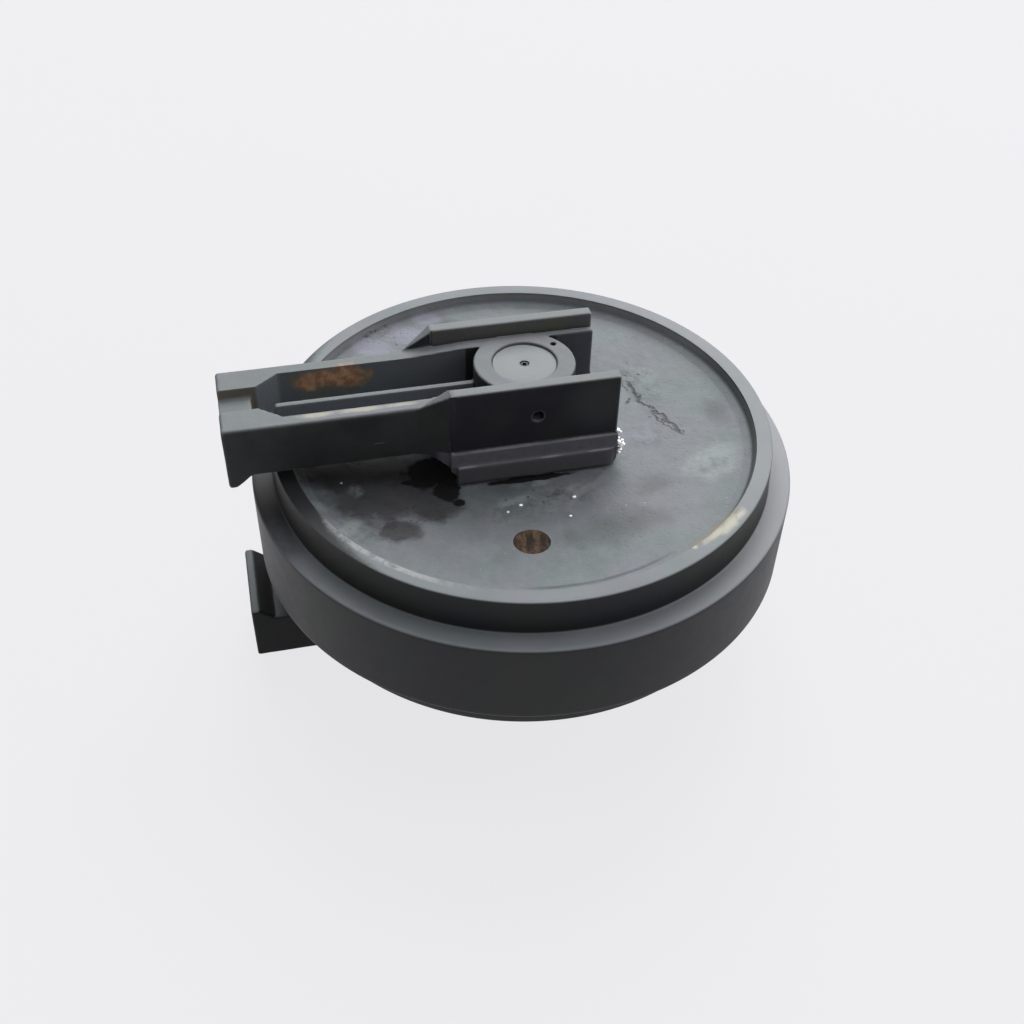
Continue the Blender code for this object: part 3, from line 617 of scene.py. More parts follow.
def add_crease_shade(paint):
    # A dark painted line as the shade of a shallow crease
    ring = paint.radius.band(CREASE_RADIUS, 0.5 * MM, 2.2 * MM) * paint.y.above(-190 * MM, -202 * MM)
    crease_shade = ring * paint.x.above(-60 * MM, -20 * MM) * paint.x.above(105 * MM, 80 * MM)
    paint.cover(crease_shade * paint.upper_web * paint.cloud.above(0.3, 0.55) * 0.6, CREASE_SHADE_TINT)


print(f"flash line about {SEAM_PLACE / MM:.0f} mm from the axis")

# %% [markdown]
# The rim's inner wall on the far side is painted lighter as painted light, and a painted sheen makes rim
# and flange palest at the right. At the left both are painted nearly black, as the arm's painted shade with
# some grime, within a given angle of the side where the arm lies. A broken row of painted highlights lies
# where the rim turns down to the web.

# %% Rim and flange
RIM_SHADE_HALF = math.radians(26)
FLANGE_SHADE_HALF = math.radians(20)
SHADE_EDGE = 0.15
RIM_WALL_LIGHT_TINT = (0.340, 0.350, 0.362)
PAINTED_SHEEN_TINT = (0.335, 0.347, 0.368)
SHADE_TINT = (0.018, 0.018, 0.018)
FLANGE_SHADE_TINT = (0.020, 0.020, 0.019)
HIGHLIGHT_CHIP_TINT = (0.42, 0.44, 0.45)


def paint_rim_light_and_shade(paint):
    # Painted light on the rim's inner wall on the far side
    wall = paint.radius.band(RIM_INNER_RADIUS - 4 * MM, 3.6 * MM, 3 * MM) * paint.y.above(20 * MM, 130 * MM)
    wall = wall * (1 - paint.dust) * paint.upper
    paint.cover(wall * (0.55 + 0.45 * paint.cloud), RIM_WALL_LIGHT_TINT)
    # Painted sheen on rim and flange at the right
    sheen = paint.dust * (1 - paint.web) * paint.x.above(30 * MM, 220 * MM) * paint.upper
    paint.cover(sheen * (0.45 + 0.5 * paint.flange), PAINTED_SHEEN_TINT)
    # Painted shade of the arm, with some grime, on rim and flange at the left
    from_left = math.pi - abs(paint.turn)
    lean = from_left + (RIM_INNER_RADIUS - paint.radius) * 20 + (paint.mottle - 0.5) * 0.3
    rim_shade = lean.above(RIM_SHADE_HALF + SHADE_EDGE, RIM_SHADE_HALF - 0.12) * (1 - paint.web)
    paint.cover(rim_shade * (1 - paint.flange) * paint.upper * 0.92, SHADE_TINT)
    uneven = from_left + (paint.cloud - 0.5) * 0.3
    flange_shade = uneven.above(FLANGE_SHADE_HALF + SHADE_EDGE, FLANGE_SHADE_HALF - SHADE_EDGE)
    paint.cover(flange_shade * paint.flange * paint.dust * paint.upper * 0.85, FLANGE_SHADE_TINT)
    # Painted highlights along the rim's inner edge
    highlight_chips = paint.radius.band(RIM_INNER_RADIUS + 2 * MM, 2 * MM, 3.5 * MM) * paint.turn.above(-1.9, -2.3)
    highlight_chips = highlight_chips * (1 - rim_shade) * paint.mottle.above(0.36, 0.56) * paint.upper
    paint.cover(highlight_chips * 0.9, HIGHLIGHT_CHIP_TINT)


print("layers for rim and flange are ready")

# %% [markdown]
# A near-black painted shade lies beside the bracket's foot and along it, and something like chalk was
# rubbed off on the rim at the right. Pale specks and edges lightened as rubbed paint and painted highlight
# finish the colour. The cast skin's finest grain is left to bumps.

# %% The wheel's whole paint
FOOT_SHADE_TINT = (0.003, 0.003, 0.0035)
STAIN_TINT = (0.31, 0.25, 0.15)
CHALK_TINT = (0.64, 0.63, 0.53)
SPECK_TINT = (0.55, 0.57, 0.57)
RUBBED_AND_HIGHLIT_TINT = (0.24, 0.255, 0.265)


def add_shade_chalk_and_wear(paint):
    # Near-black painted shade beside and along the bracket's foot
    paint.oil = mark_web(paint, FOOT_SHADE_PATCHES, 0.25, FOOT_SHADE_TINT, 1.0, paint.grain(55.0, 4.0))
    stain = paint.patches(CHALK_STAIN_PATCHES, WHEEL_TOP, 0.9, paint.blot) * paint.upper
    paint.cover(stain * 0.85, STAIN_TINT)
    paint.chalk = paint.patches(CHALK_PATCHES, WHEEL_TOP, 0.9, paint.grain(120.0, 4.0)) * paint.upper
    paint.cover(paint.chalk * (0.55 + 0.8 * (paint.mottle - 0.2)), CHALK_TINT)
    specks = paint.pits(95.0, 0.05, 0.09) * paint.grain(22.0, 2.0).above(0.55, 0.66)
    paint.cover(specks * paint.web * paint.dust * 0.7, SPECK_TINT)
    # Edges lightened as rubbed paint and painted highlight
    paint.cover(worn_and_highlit_edges(paint) * 0.35, RUBBED_AND_HIGHLIT_TINT)


def make_wheel_paint():
    paint = begin_wheel_paint()
    for layer in (add_wheel_dust, add_web_marks_and_shade, add_seam, add_crease_shade, paint_rim_light_and_shade, add_shade_chalk_and_wear):
        layer(paint)
    roughness = 0.40 + 0.16 * paint.mottle + 0.12 * paint.web * paint.cloud
    # Rougher in the painted shade beside the foot and on the chalk
    roughness = roughness + 0.3 * paint.oil + 0.1 * paint.chalk
    normal = paint.height(paint.grain(420.0, 5.0, 0.65), 0.00016 + 0.00026 * paint.web)
    normal = paint.height(paint.mottle, paint.web * 0.0007 + paint.rough * 0.0014, normal)
    normal = paint.height(paint.seam + paint.lumps, -0.0011, normal)
    normal = paint.height(paint.pits(150.0, 0.0, 0.35), -0.0003 * paint.web, normal)
    return paint.finish(paint.colour, roughness, 0.0, normal, 0.24)


WHEEL_PAINT = make_wheel_paint()
print("wheel paint:", len(WHEEL_PAINT.node_tree.nodes), "nodes")

# %% [markdown]
# ## The wheel
#
# A turned shape is drawn as half of its section and swept round the axis. The real one has small radii
# where the lathe tool broke its edges and large ones where the casting turns from web to rim, so each
# corner of the outline names its own radius and is rounded by an arc before the sweep. Long flats are
# divided, because the web's cast skin is then raised and sunk point by point.

# %% The wheel's section
TREAD_RADIUS = 250 * MM
TREAD_TAPER = 1.9 * MM
FLANGE_HALF_WIDTH = 45.6 * MM
FLANGE_CHAMFER = 2.4 * MM
RIM_FILLET = 12 * MM
WEB_STEP_RADIUS = 146 * MM
WEB_STEP = 2.6 * MM
WEB_SLOPE = 3.4 * MM
WEB_EASE = 12 * MM
HUB_PAD_RADIUS = 101 * MM
HUB_PAD_STEP = 2 * MM
PAD_EASE = 3 * MM
HUB_PAD_HEIGHT = WHEEL_HALF_WIDTH - 17 * MM
SEAT_RADIUS = 61.9 * MM
SEAT_FLOOR = 53.6 * MM
HUB_BORE_RADIUS = 37.8 * MM
CHAMBER_RADIUS = 44 * MM
CHAMBER_HALF = 10 * MM
LONGEST_STEP = 3.5 * MM
WEB_LOW = HUB_PAD_HEIGHT - HUB_PAD_STEP
WEB_HIGH = WEB_LOW + WEB_STEP + WEB_SLOPE


def half_section():
    """Corners of half the section as (radius, height, rounding), from the oil chamber to the flange."""
    return [
        (CHAMBER_RADIUS, CHAMBER_HALF, 0),
        (HUB_BORE_RADIUS, CHAMBER_HALF, 0),
        (HUB_BORE_RADIUS, SEAT_FLOOR, 0),
        (SEAT_RADIUS, SEAT_FLOOR, 0),
        (SEAT_RADIUS, HUB_PAD_HEIGHT, 1 * MM),
        (HUB_PAD_RADIUS - PAD_EASE, HUB_PAD_HEIGHT, 5 * MM),
        (HUB_PAD_RADIUS + PAD_EASE, WEB_LOW, 5 * MM),
        (WEB_STEP_RADIUS - WEB_EASE, WEB_LOW, 10 * MM),
        (WEB_STEP_RADIUS + WEB_EASE, WEB_LOW + WEB_STEP, 10 * MM),
        (RIM_INNER_RADIUS - RIM_FILLET, WEB_HIGH, 8 * MM),
        (RIM_INNER_RADIUS - 0.3 * RIM_FILLET, WEB_HIGH + 0.3 * RIM_FILLET, 6 * MM),
        (RIM_INNER_RADIUS, WEB_HIGH + RIM_FILLET, 5 * MM),
        (RIM_INNER_RADIUS, WHEEL_HALF_WIDTH, 1.2 * MM),
        (TREAD_RADIUS, WHEEL_HALF_WIDTH, 1.6 * MM),
        (TREAD_RADIUS + TREAD_TAPER, FLANGE_HALF_WIDTH, 2.2 * MM),
        (FLANGE_RADIUS, FLANGE_HALF_WIDTH, FLANGE_CHAMFER),
    ]


def rounded(corners, steps):
    """Replaces each corner that has a rounding by the points of its arc."""
    found = []
    for i, (radius, height, rounding) in enumerate(corners):
        here = Vector((radius, height))
        if not rounding:
            found.append(here)
            continue
        before = Vector(corners[i - 1][:2]) - here
        after = Vector(corners[(i + 1) % len(corners)][:2]) - here
        half = before.angle(after) / 2
        reach = min(rounding / math.tan(half), before.length * 0.49, after.length * 0.49)
        first = here + before.normalized() * reach
        last = here + after.normalized() * reach
        for step in range(steps + 1):
            share = step / steps
            found.append(first.lerp(here, share).lerp(here.lerp(last, share), share))
    return found


def divided(outline, longest):
    """Adds points to the outline so that no step of it is longer than given."""
    found = []
    for here, there in zip(outline, outline[1:] + outline[:1]):
        count = max(1, math.ceil((there - here).length / longest))
        found += [here.lerp(there, i / count) for i in range(count)]
    return found


upper_half = half_section()
lower_half = [(radius, -height, rounding) for radius, height, rounding in reversed(upper_half)]
WHEEL_OUTLINE = divided(rounded(upper_half + lower_half, 4), LONGEST_STEP)
print("points in the wheel's section:", len(WHEEL_OUTLINE))


# %% Turning a section into a mesh
ON_AXIS = 0.001 * MM
SHARP_ANGLE = math.radians(38)


def turned_mesh(name, outline, sides, centre_z=MIDDLE_Z):
    """Sweeps a closed outline, or one that starts and ends on the axis, once round the Z axis."""
    work = bmesh.new()
    rings = []
    turns = [math.tau * i / sides for i in range(sides)]
    for radius, height in outline:
        z = centre_z + height
        if radius < ON_AXIS:
            rings.append([work.verts.new((0, 0, z))] * sides)
            continue
        rings.append([work.verts.new((radius * math.cos(a), radius * math.sin(a), z)) for a in turns])
    pairs = list(zip(rings, rings[1:]))
    if outline[0][0] > ON_AXIS:
        pairs.append((rings[-1], rings[0]))
    for ring, following in pairs:
        for i in range(sides):
            j = (i + 1) % sides
            corners = []
            for vertex in (ring[i], ring[j], following[j], following[i]):
                if vertex not in corners:
                    corners.append(vertex)
            if len(corners) > 2:
                work.faces.new(corners)
    bmesh.ops.recalc_face_normals(work, faces=work.faces)
    return mesh_from(work, name)


def add_piece(name, mesh, material, body, slot, *nodes):
    """Links a finished mesh as a visible piece of the object."""
    piece = link_new(name, mesh)
    mesh.materials.clear()
    mesh.materials.append(material)
    mesh.shade_smooth()
    mesh.set_sharp_from_angle(angle=SHARP_ANGLE)
    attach(piece, body)
    if nodes:
        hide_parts(*nodes)
    print(f"{name}: {len(mesh.polygons)} faces")
    return piece


# %% [markdown]
# The web's skin comes from noise that is added to the points' heights, strongest in the middle of the web
# and fading out at the turned pad and at the rim. Two scales are mixed: long waves from the mould, and
# short lumps.

# %% The cast skin of the webs
WHEEL_SIDES = 320
WAVE_SCALE = 11
WAVE_HEIGHT = 0.45 * MM
LUMP_SCALE = 48
LUMP_HEIGHT = 0.42 * MM
SKIN_MARGIN = 2 * MM
SKIN_EASE = 10 * MM


def cast_relief(x, y, side):
    """The skin's height at a place; each side of the wheel has its own noise."""
    wave = noise.fractal(Vector((x * WAVE_SCALE, y * WAVE_SCALE, side * 3.7)), 1.0, 2.0, 3)
    lump = noise.fractal(Vector((x * LUMP_SCALE, y * LUMP_SCALE, side * 9.1)), 0.8, 2.0, 4)
    return WAVE_HEIGHT * wave + LUMP_HEIGHT * lump


def raise_web_skin(mesh):
    for vertex in mesh.vertices:
        height = vertex.co.z - MIDDLE_Z
        radius = math.hypot(vertex.co.x, vertex.co.y)
        inward = min(radius - HUB_PAD_RADIUS, RIM_INNER_RADIUS - SKIN_MARGIN - radius) / SKIN_EASE
        share = min(max(inward, 0.0), 1.0)
        if share > 0 and abs(height) > SEAT_FLOOR:
            side = math.copysign(1.0, height)
            vertex.co.z += side * share * cast_relief(vertex.co.x, vertex.co.y, side)


wheel_mesh = turned_mesh("wheel_casting", WHEEL_OUTLINE, WHEEL_SIDES)
raise_web_skin(wheel_mesh)
print("wheel points:", len(wheel_mesh.vertices))

# %% [markdown]
# Each web has two round holes, through which the sand core was held and then shaken out. They are cut with
# an exact Boolean, and a plug of plain steel, long since rusty, closes each of them.

# %% Core holes
PLUG_NODES = ("upper_core_plug_1", "upper_core_plug_2", "lower_core_plug_1", "lower_core_plug_2")
CORE_HOLE_RADIUS = 17.5 * MM
CORE_HOLE_DEPTH = 12 * MM
CORE_HOLE_CHAMFER = 0.5 * MM


def apply_modifiers(piece):
    """Keeps what the modifiers make as the piece's own mesh."""
    bpy.context.view_layer.update()
    graph = bpy.context.evaluated_depsgraph_get()
    made = bpy.data.meshes.new_from_object(piece.evaluated_get(graph))
    piece.modifiers.clear()
    piece.data = made


def cut(piece, mesh):
    """Takes a closed mesh out of the piece with an exact Boolean."""
    tool = link_new("tool", mesh)
    step = piece.modifiers.new("step", "BOOLEAN")
    step.operation = "DIFFERENCE"
    step.solver = "EXACT"
    step.object = tool
    apply_modifiers(piece)
    bpy.data.objects.remove(tool)


def mesh_alone(piece, name):
    """Takes a working object away again and gives back its mesh under a new name."""
    mesh = piece.data
    mesh.name = name
    bpy.data.objects.remove(piece)
    return mesh


def round_bar(radius, low, high, centre, chamfer, sides=64):
    """A round bar with chamfered ends about a vertical line through a centre."""
    outline = [
        (0, low),
        (radius - chamfer, low),
        (radius, low + chamfer),
        (radius, high - chamfer),
        (radius - chamfer, high),
        (0, high),
    ]
    mesh = turned_mesh("bar", outline, sides, 0)
    mesh.transform(Matrix.Translation((centre.x, centre.y, 0)))
    return mesh


def make_wheel():
    piece = link_new("wheel_blank", wheel_mesh)
    for node in PLUG_NODES:
        low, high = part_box(node)
        middle = (low + high) / 2
        side = math.copysign(1, middle.z - MIDDLE_Z)
        face = high.z if side > 0 else low.z
        span = sorted((face - side * CORE_HOLE_DEPTH, face + side * CORE_HOLE_DEPTH))
        cut(piece, round_bar(CORE_HOLE_RADIUS, *span, middle, CORE_HOLE_CHAMFER))
    mesh = mesh_alone(piece, "wheel_casting")
    return add_piece("wheel_casting", mesh, WHEEL_PAINT, "wheel", "wheel_casting", "idler_wheel")


wheel = make_wheel()


# %% Rusty plugs
RUST_STREAKS = ((0.030, 0.021, 0.015), (0.170, 0.105, 0.066))
DARK_RUST = (0.028, 0.020, 0.015)
PLUG_ROUNDING = 0.6 * MM
PLUG_SUNK = 0.1 * MM
PLUG_SCALE_DEPTH = 0.35 * MM
PLUG_RINGS = 9


def make_rust():
    paint = Paint("rusty_steel")
    crust = paint.grain(260.0, 6.0, 0.7)
    streaks = paint.grain(150.0, 4.0, 0.6, (1, 0.25, 1))
    paint.colour = paint.blend(streaks.above(0.40, 0.62), *RUST_STREAKS)
    paint.cover(crust.above(0.56, 0.42) * 0.4, DARK_RUST)
    normal = paint.height(crust, 0.0009)
    normal = paint.height(paint.pits(420.0, 0.0, 0.4), -0.0004, normal)
    return paint.finish(paint.colour, 0.78 + 0.15 * crust, 0.0, normal, 0.3)


RUSTY_STEEL = make_rust()


def make_core_plug(node):
    """A disc with a rounded edge and a slightly sunken, scaly face."""
    low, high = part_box(node)
    middle = (low + high) / 2
    side = math.copysign(1, middle.z - MIDDLE_Z)
    radius = (high.x - low.x) / 2
    top = (high.z - low.z) / 2
    face = top - PLUG_SUNK
    outline = [(0, -top), (radius - PLUG_ROUNDING, -top), (radius, PLUG_ROUNDING - top)]
    outline += [(radius, top - 1.4 * MM), (radius - 0.5 * MM, top - 0.5 * MM)]
    outline += [(radius * (1 - i / PLUG_RINGS) - 0.5 * MM, face) for i in range(1, PLUG_RINGS)]
    mesh = turned_mesh(node, outline + [(0, face)], 72, 0)
    if side < 0:
        mesh.transform(Matrix.Rotation(math.pi, 4, "X"))
    mesh.transform(Matrix.Translation(middle))
    for vertex in mesh.vertices:
        scale = noise.fractal(vertex.co * 160, 0.9, 2.0, 4)
        vertex.co.z -= PLUG_SCALE_DEPTH * abs(scale) * side
    return add_piece(f"{node}_disc", mesh, RUSTY_STEEL, "wheel", "rusty_plug", node)


plugs = [make_core_plug(node) for node in PLUG_NODES]
print("core plugs:", len(plugs))

# %% [markdown]
# ## The brackets
#
# Each bracket is a casting whose corners are all a little soft. Its marks were read off the photograph too,
# as the centre's x and height and the half sizes in millimetres. Those on top of the arm are given in plan.

# %% Marks on the brackets
BORE_RADIUS = AXLE_RADIUS + 0.3 * MM
POCKET_WALL = 33.6 * MM
FOOT_WALL = -62.7 * MM
TOE_WALL = -65.7 * MM
ARM_WALL = -47.4 * MM
ARM_TOP = MIDDLE_Z + 152 * MM
MARK_DEPTH = 9 * MM
RUST_MARKS = (
    ((-181, 139), (34, 13)),
    ((-196, 142), (22, 12)),
    ((-166, 139), (24, 16)),
    ((-208, 136), (17, 11)),
)
RUST_STAINS = (
    ((-186, 134), (46, 20)),
    ((-216, 141), (15, 12)),
    ((-153, 139), (15, 15)),
)
TOP_HIGHLIGHTS = (
    ((-205, -37), (26, 5), 0),
    ((-165, -37), (36, 5), 0),
    ((-128, -37), (26, 4), 0),
    ((-60, -50), (40, 3), 0),
)
# Painted highlights along the foot's and toe's edges
FOOT_EDGE_HIGHLIGHTS = (
    ((-30, 103.6), (48, 0.9)),
    ((50, 103.6), (34, 0.8)),
)
TOE_EDGE_HIGHLIGHTS = (
    ((-69, 88.3), (13, 1.2)),
    ((15, 88.3), (15, 1.0)),
    ((62, 88.3), (20, 0.9)),
)
ARM_SCRATCHES = (
    ((-150.4, 117.8), (7.2, 0.7)),
    ((-96, 131), (5, 0.6)),
)


def wall_patches(paint, places, wall, softness, ragged):
    """1 inside any of several patches on a wall of constant y, on the upper and on the lower bracket."""
    spots = []
    for side in (1, -1):
        for (x, h), (long, tall) in places:
            centre = (x * MM, wall, MIDDLE_Z + side * h * MM)
            spots.append(paint.spot(centre, (long * MM, MARK_DEPTH, tall * MM), softness, ragged))
    return strongest(*spots)


print("rust marks:", len(RUST_MARKS), "with stains:", len(RUST_STAINS))

# %% [markdown]
# The brackets' paint has the same layers as the wheel's. Faces that look sideways have their own thin dust
# with a painted sheen. Foot and toe are painted lighter, the foot most on its near side, and the pocket is
# painted lighter as painted fill light. The paint is a pattern in space, so each mark is given once for
# both brackets, by its distance from the wheel's middle plane.

# %% Dust, painted sheen and tints of the brackets
# Dust with a painted sheen on the tops, and thin dust with a painted sheen on the sides
TOP_DUST_AND_SHEEN_TINTS = ((0.240, 0.270, 0.272), (0.252, 0.264, 0.284))
SIDE_DUST_AND_SHEEN_TINTS = ((0.052, 0.060, 0.053), (0.066, 0.066, 0.073))
FOOT_TOP = 104.5 * MM
FOOT_TINT = (0.215, 0.210, 0.245)
TOE_TOP = 88.6 * MM
TOE_TINT = (0.118, 0.115, 0.124)
# Painted fill light in the pocket, on the wall behind the boss and in the bore's ring
POCKET_FILL_LIGHT_TINT = (0.205, 0.222, 0.245)
END_WALL_FILL_LIGHT_TINT = (0.125, 0.138, 0.162)
LINING_FILL_LIGHT_TINT = (0.170, 0.180, 0.184)


def begin_bracket_paint():
    paint = Paint("bracket_paint")
    paint.x, paint.y, paint.z = (paint.part(paint.point, axis) for axis in "XYZ")
    paint.level = abs(paint.z - MIDDLE_Z)
    paint.cloud = paint.grain(22.0, 5.0, 0.6)
    paint.skin = paint.grain(110.0, 6.0, 0.65)
    paint.ragged = paint.grain(70.0, 5.0)
    paint.dust = dust_on_top(paint, 0.40, 0.95)
    paint.steep = 1 - paint.dust
    return paint


def add_bracket_dust(paint):
    top_dust = paint.blend(paint.grain(11.0, 3.0).above(0.4, 0.6), *TOP_DUST_AND_SHEEN_TINTS)
    side_dust = paint.blend(paint.cloud.above(0.3, 0.7), *SIDE_DUST_AND_SHEEN_TINTS)
    side_share = 0.35 + 0.65 * paint.grain(14.0, 3.0).above(0.3, 0.7)
    paint.colour = paint.blend(side_share, dark_paint(paint), side_dust)
    paint.cover(paint.dust * (0.74 + 0.4 * paint.cloud), top_dust)


def tint_foot(paint):
    past_arm = paint.x.above(-100 * MM, -92 * MM)
    foot = paint.level.above(FOOT_TOP, FOOT_TOP - 1 * MM) * past_arm
    near = 0.35 + 0.65 * paint.y.above(10 * MM, -10 * MM)
    paint.cover(foot * paint.steep * near * (0.6 + 0.6 * (paint.skin - 0.2)), FOOT_TINT)
    toe = paint.level.above(TOE_TOP, TOE_TOP - 1 * MM) * past_arm
    paint.cover(toe * paint.steep * 0.8, TOE_TINT)


def paint_pocket_fill_light(paint):
    """Painted fill light on the pocket's walls, the wall behind the boss and the ring of the bore that
    shows above the axle.
    """
    inside = abs(paint.y).above(35 * MM, 34.4 * MM) * paint.level.above(100 * MM, 110 * MM)
    inside = inside * paint.x.above(-260 * MM, -258 * MM) * paint.x.above(-50 * MM, -53 * MM)
    paint.cover(inside * paint.steep * 0.9, POCKET_FILL_LIGHT_TINT)
    end_wall = paint.y.above(35 * MM, 37 * MM) * paint.y.above(43 * MM, 41 * MM)
    end_wall = end_wall * paint.x.above(40 * MM, 44 * MM)
    paint.cover(end_wall * paint.steep * 0.8, END_WALL_FILL_LIGHT_TINT)
    radius = (paint.x * paint.x + paint.y * paint.y) ** 0.5
    lining = radius.above(BORE_RADIUS + 1.6 * MM, BORE_RADIUS + 0.8 * MM)
    paint.cover(lining * paint.steep * 0.7, LINING_FILL_LIGHT_TINT)


print(f"bore {2 * BORE_RADIUS / MM:.1f} mm across")

# %% [markdown]
# Rust has run down inside the pocket. Thin painted highlights lie along the foot's edges and on top of the
# near arm wall, edges are lightened as rubbed paint and painted highlight, and a little tan earth is left
# in the groove. The lower bracket stands in the wheel's shadow, which is painted on it as near-black
# painted shade.

# %% The brackets' whole paint
STAIN_ON_WALL_TINT = (0.215, 0.195, 0.140)
RUST_TINTS = ((0.420, 0.215, 0.135), (0.760, 0.450, 0.250))
EDGE_HIGHLIGHT_TINT = (0.42, 0.42, 0.45)
SCRATCH_TINT = (0.20, 0.20, 0.19)
GROOVE_HALF = 17.2 * MM
GROOVE_TINT = (0.22, 0.205, 0.17)
HIGHLIGHT_TINT = (0.50, 0.50, 0.42)
BRACKET_EDGE_TINT = (0.26, 0.27, 0.28)
LOWER_BRACKET_SHADE_TINT = (0.008, 0.008, 0.008)


def add_rust_highlights_and_scratches(paint):
    stain = wall_patches(paint, RUST_STAINS, POCKET_WALL, 0.8, paint.ragged)
    paint.cover(stain * 0.8, STAIN_ON_WALL_TINT)
    paint.rust = wall_patches(paint, RUST_MARKS, POCKET_WALL, 0.6, paint.ragged)
    rusty = paint.blend(paint.grain(120.0, 5.0).above(0.35, 0.65), *RUST_TINTS)
    paint.cover(paint.rust * 0.95, rusty)
    # Painted highlights along the foot's and toe's edges
    foot_highlights = wall_patches(paint, FOOT_EDGE_HIGHLIGHTS, FOOT_WALL, 0.6, paint.skin)
    toe_highlights = wall_patches(paint, TOE_EDGE_HIGHLIGHTS, TOE_WALL, 0.6, paint.skin)
    paint.cover(strongest(foot_highlights, toe_highlights) * 0.8, EDGE_HIGHLIGHT_TINT)
    paint.cover(wall_patches(paint, ARM_SCRATCHES, ARM_WALL, 0.5, None) * 0.7, SCRATCH_TINT)


def add_earth_wear_and_painted_light(paint):
    off_end_face = strongest(paint.x.above(-291 * MM, -288 * MM), paint.level.above(141 * MM, 143 * MM))
    groove = abs(paint.y).above(GROOVE_HALF, GROOVE_HALF - 0.4 * MM) * paint.x.above(-256 * MM, -258 * MM)
    paint.cover(groove * off_end_face * paint.steep * (0.5 + paint.cloud), GROOVE_TINT)
    # Painted highlights on top of the near arm wall
    bright = paint.patches(TOP_HIGHLIGHTS, ARM_TOP, 0.8, paint.ragged)
    bright = bright * paint.level.above(140 * MM, 145 * MM)
    paint.cover(bright * paint.dust * 0.9, HIGHLIGHT_TINT)
    # Edges lightened as rubbed paint and painted highlight
    paint.cover(worn_and_highlit_edges(paint) * 0.6, BRACKET_EDGE_TINT)
    # Painted shade: the lower bracket's upward faces and slopes are darkened nearly to black
    below = paint.z.above(MIDDLE_Z, MIDDLE_Z - 10 * MM)
    shaded_slope = paint.part(paint.facing, "X").above(0.12, 0.4)
    paint.cover(below * strongest(paint.steep * 0.65, shaded_slope * 0.92), LOWER_BRACKET_SHADE_TINT)


def make_bracket_paint():
    paint = begin_bracket_paint()
    for layer in (add_bracket_dust, tint_foot, paint_pocket_fill_light, add_rust_highlights_and_scratches, add_earth_wear_and_painted_light):
        layer(paint)
    roughness = 0.44 + 0.14 * paint.cloud + 0.25 * paint.rust + 0.10 * paint.skin
    normal = paint.height(paint.skin, 0.0006)
    normal = paint.height(paint.grain(500.0, 4.0, 0.6), 0.00018, normal)
    return paint.finish(paint.colour, roughness, 0.0, normal, 0.14)


BRACKET_PAINT = make_bracket_paint()
print("bracket paint:", len(BRACKET_PAINT.node_tree.nodes), "nodes")

# %% [markdown]
# Bevelling every edge of a shape with that many cuts is slow and fails at the corners. A voxel remesh of
# the solid gives the same softness everywhere, and the smoothing after it takes the cubes' steps away.
# Noise along the normals then gives the sand's grain, and the bore is cut once more, because a turned bore
# stays sharp.

# %% Remeshing a solid into a casting
SMOOTHING_ROUNDS = 2
SAND_SCALE = 60
SAND_MEAN = 0.4
BRACKET_VOXEL = 1.2 * MM
BRACKET_RELIEF = 0.12 * MM
BORE_CUT = (110 * MM, 170 * MM)


def soft_copy(node, name, voxel, relief):
    """A remeshed, smoothed and slightly uneven copy of a node's mesh."""
    piece = link_new(name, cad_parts[node].data.copy())
    cubes = piece.modifiers.new("cubes", "REMESH")
    cubes.mode = "VOXEL"
    cubes.voxel_size = voxel
    soft = piece.modifiers.new("soft", "SMOOTH")
    soft.factor = 0.5
    soft.iterations = SMOOTHING_ROUNDS
    apply_modifiers(piece)
    normals = [vertex.normal.copy() for vertex in piece.data.vertices]
    for vertex, normal in zip(piece.data.vertices, normals):
        grain = noise.fractal(vertex.co * SAND_SCALE, 0.8, 2.0, 3)
        vertex.co += normal * relief * (grain - SAND_MEAN)
    return piece


def make_bracket(side, name, node):
    piece = soft_copy(node, name, BRACKET_VOXEL, BRACKET_RELIEF)
    low, high = sorted(MIDDLE_Z + side * height for height in BORE_CUT)
    cut(piece, round_bar(BORE_RADIUS, low, high, Vector((0, 0, 0)), 0, 160))
    mesh = mesh_alone(piece, name)
    return add_piece(name, mesh, BRACKET_PAINT, "carrier", "bracket_casting", node)


upper_bracket = make_bracket(1, "upper_bracket_casting", "upper_bracket")
lower_bracket = make_bracket(-1, "lower_bracket_casting", "lower_bracket")

# %% [markdown]
# ## Slide plates
#
# The four slide plates are cut from rolled plate and welded to the brackets. They slide in the track frame,
# so their outer faces are smoother than the castings, and their top edges are bright where tools have
# touched them, with a painted highlight as well. Their tops carry dust with a painted sheen, and the far
# plate's inner face, which looks to the front, is painted lighter as painted light.

# %% Slide plates
FAR_PLATE_INNER = 45 * MM
PLATE_TINTS = ((0.0250, 0.0235, 0.0320), (0.0310, 0.0310, 0.0350))
DUSTY_PLACE = (0.060, -0.0597, MIDDLE_Z + 142 * MM)
DUSTY_SIZE = (48 * MM, 10 * MM, 46 * MM)
DUSTY_TINT = (0.058, 0.067, 0.065)
FAR_INNER_LIGHT_TINTS = ((0.150, 0.150, 0.158), (0.165, 0.165, 0.125))
PLATE_DUST_AND_SHEEN = (0.27, 0.29, 0.295)
PLATE_EDGE_TINT = (0.34, 0.35, 0.355)
PLATE_VOXEL = 1.0 * MM
PLATE_RELIEF = 0.05 * MM


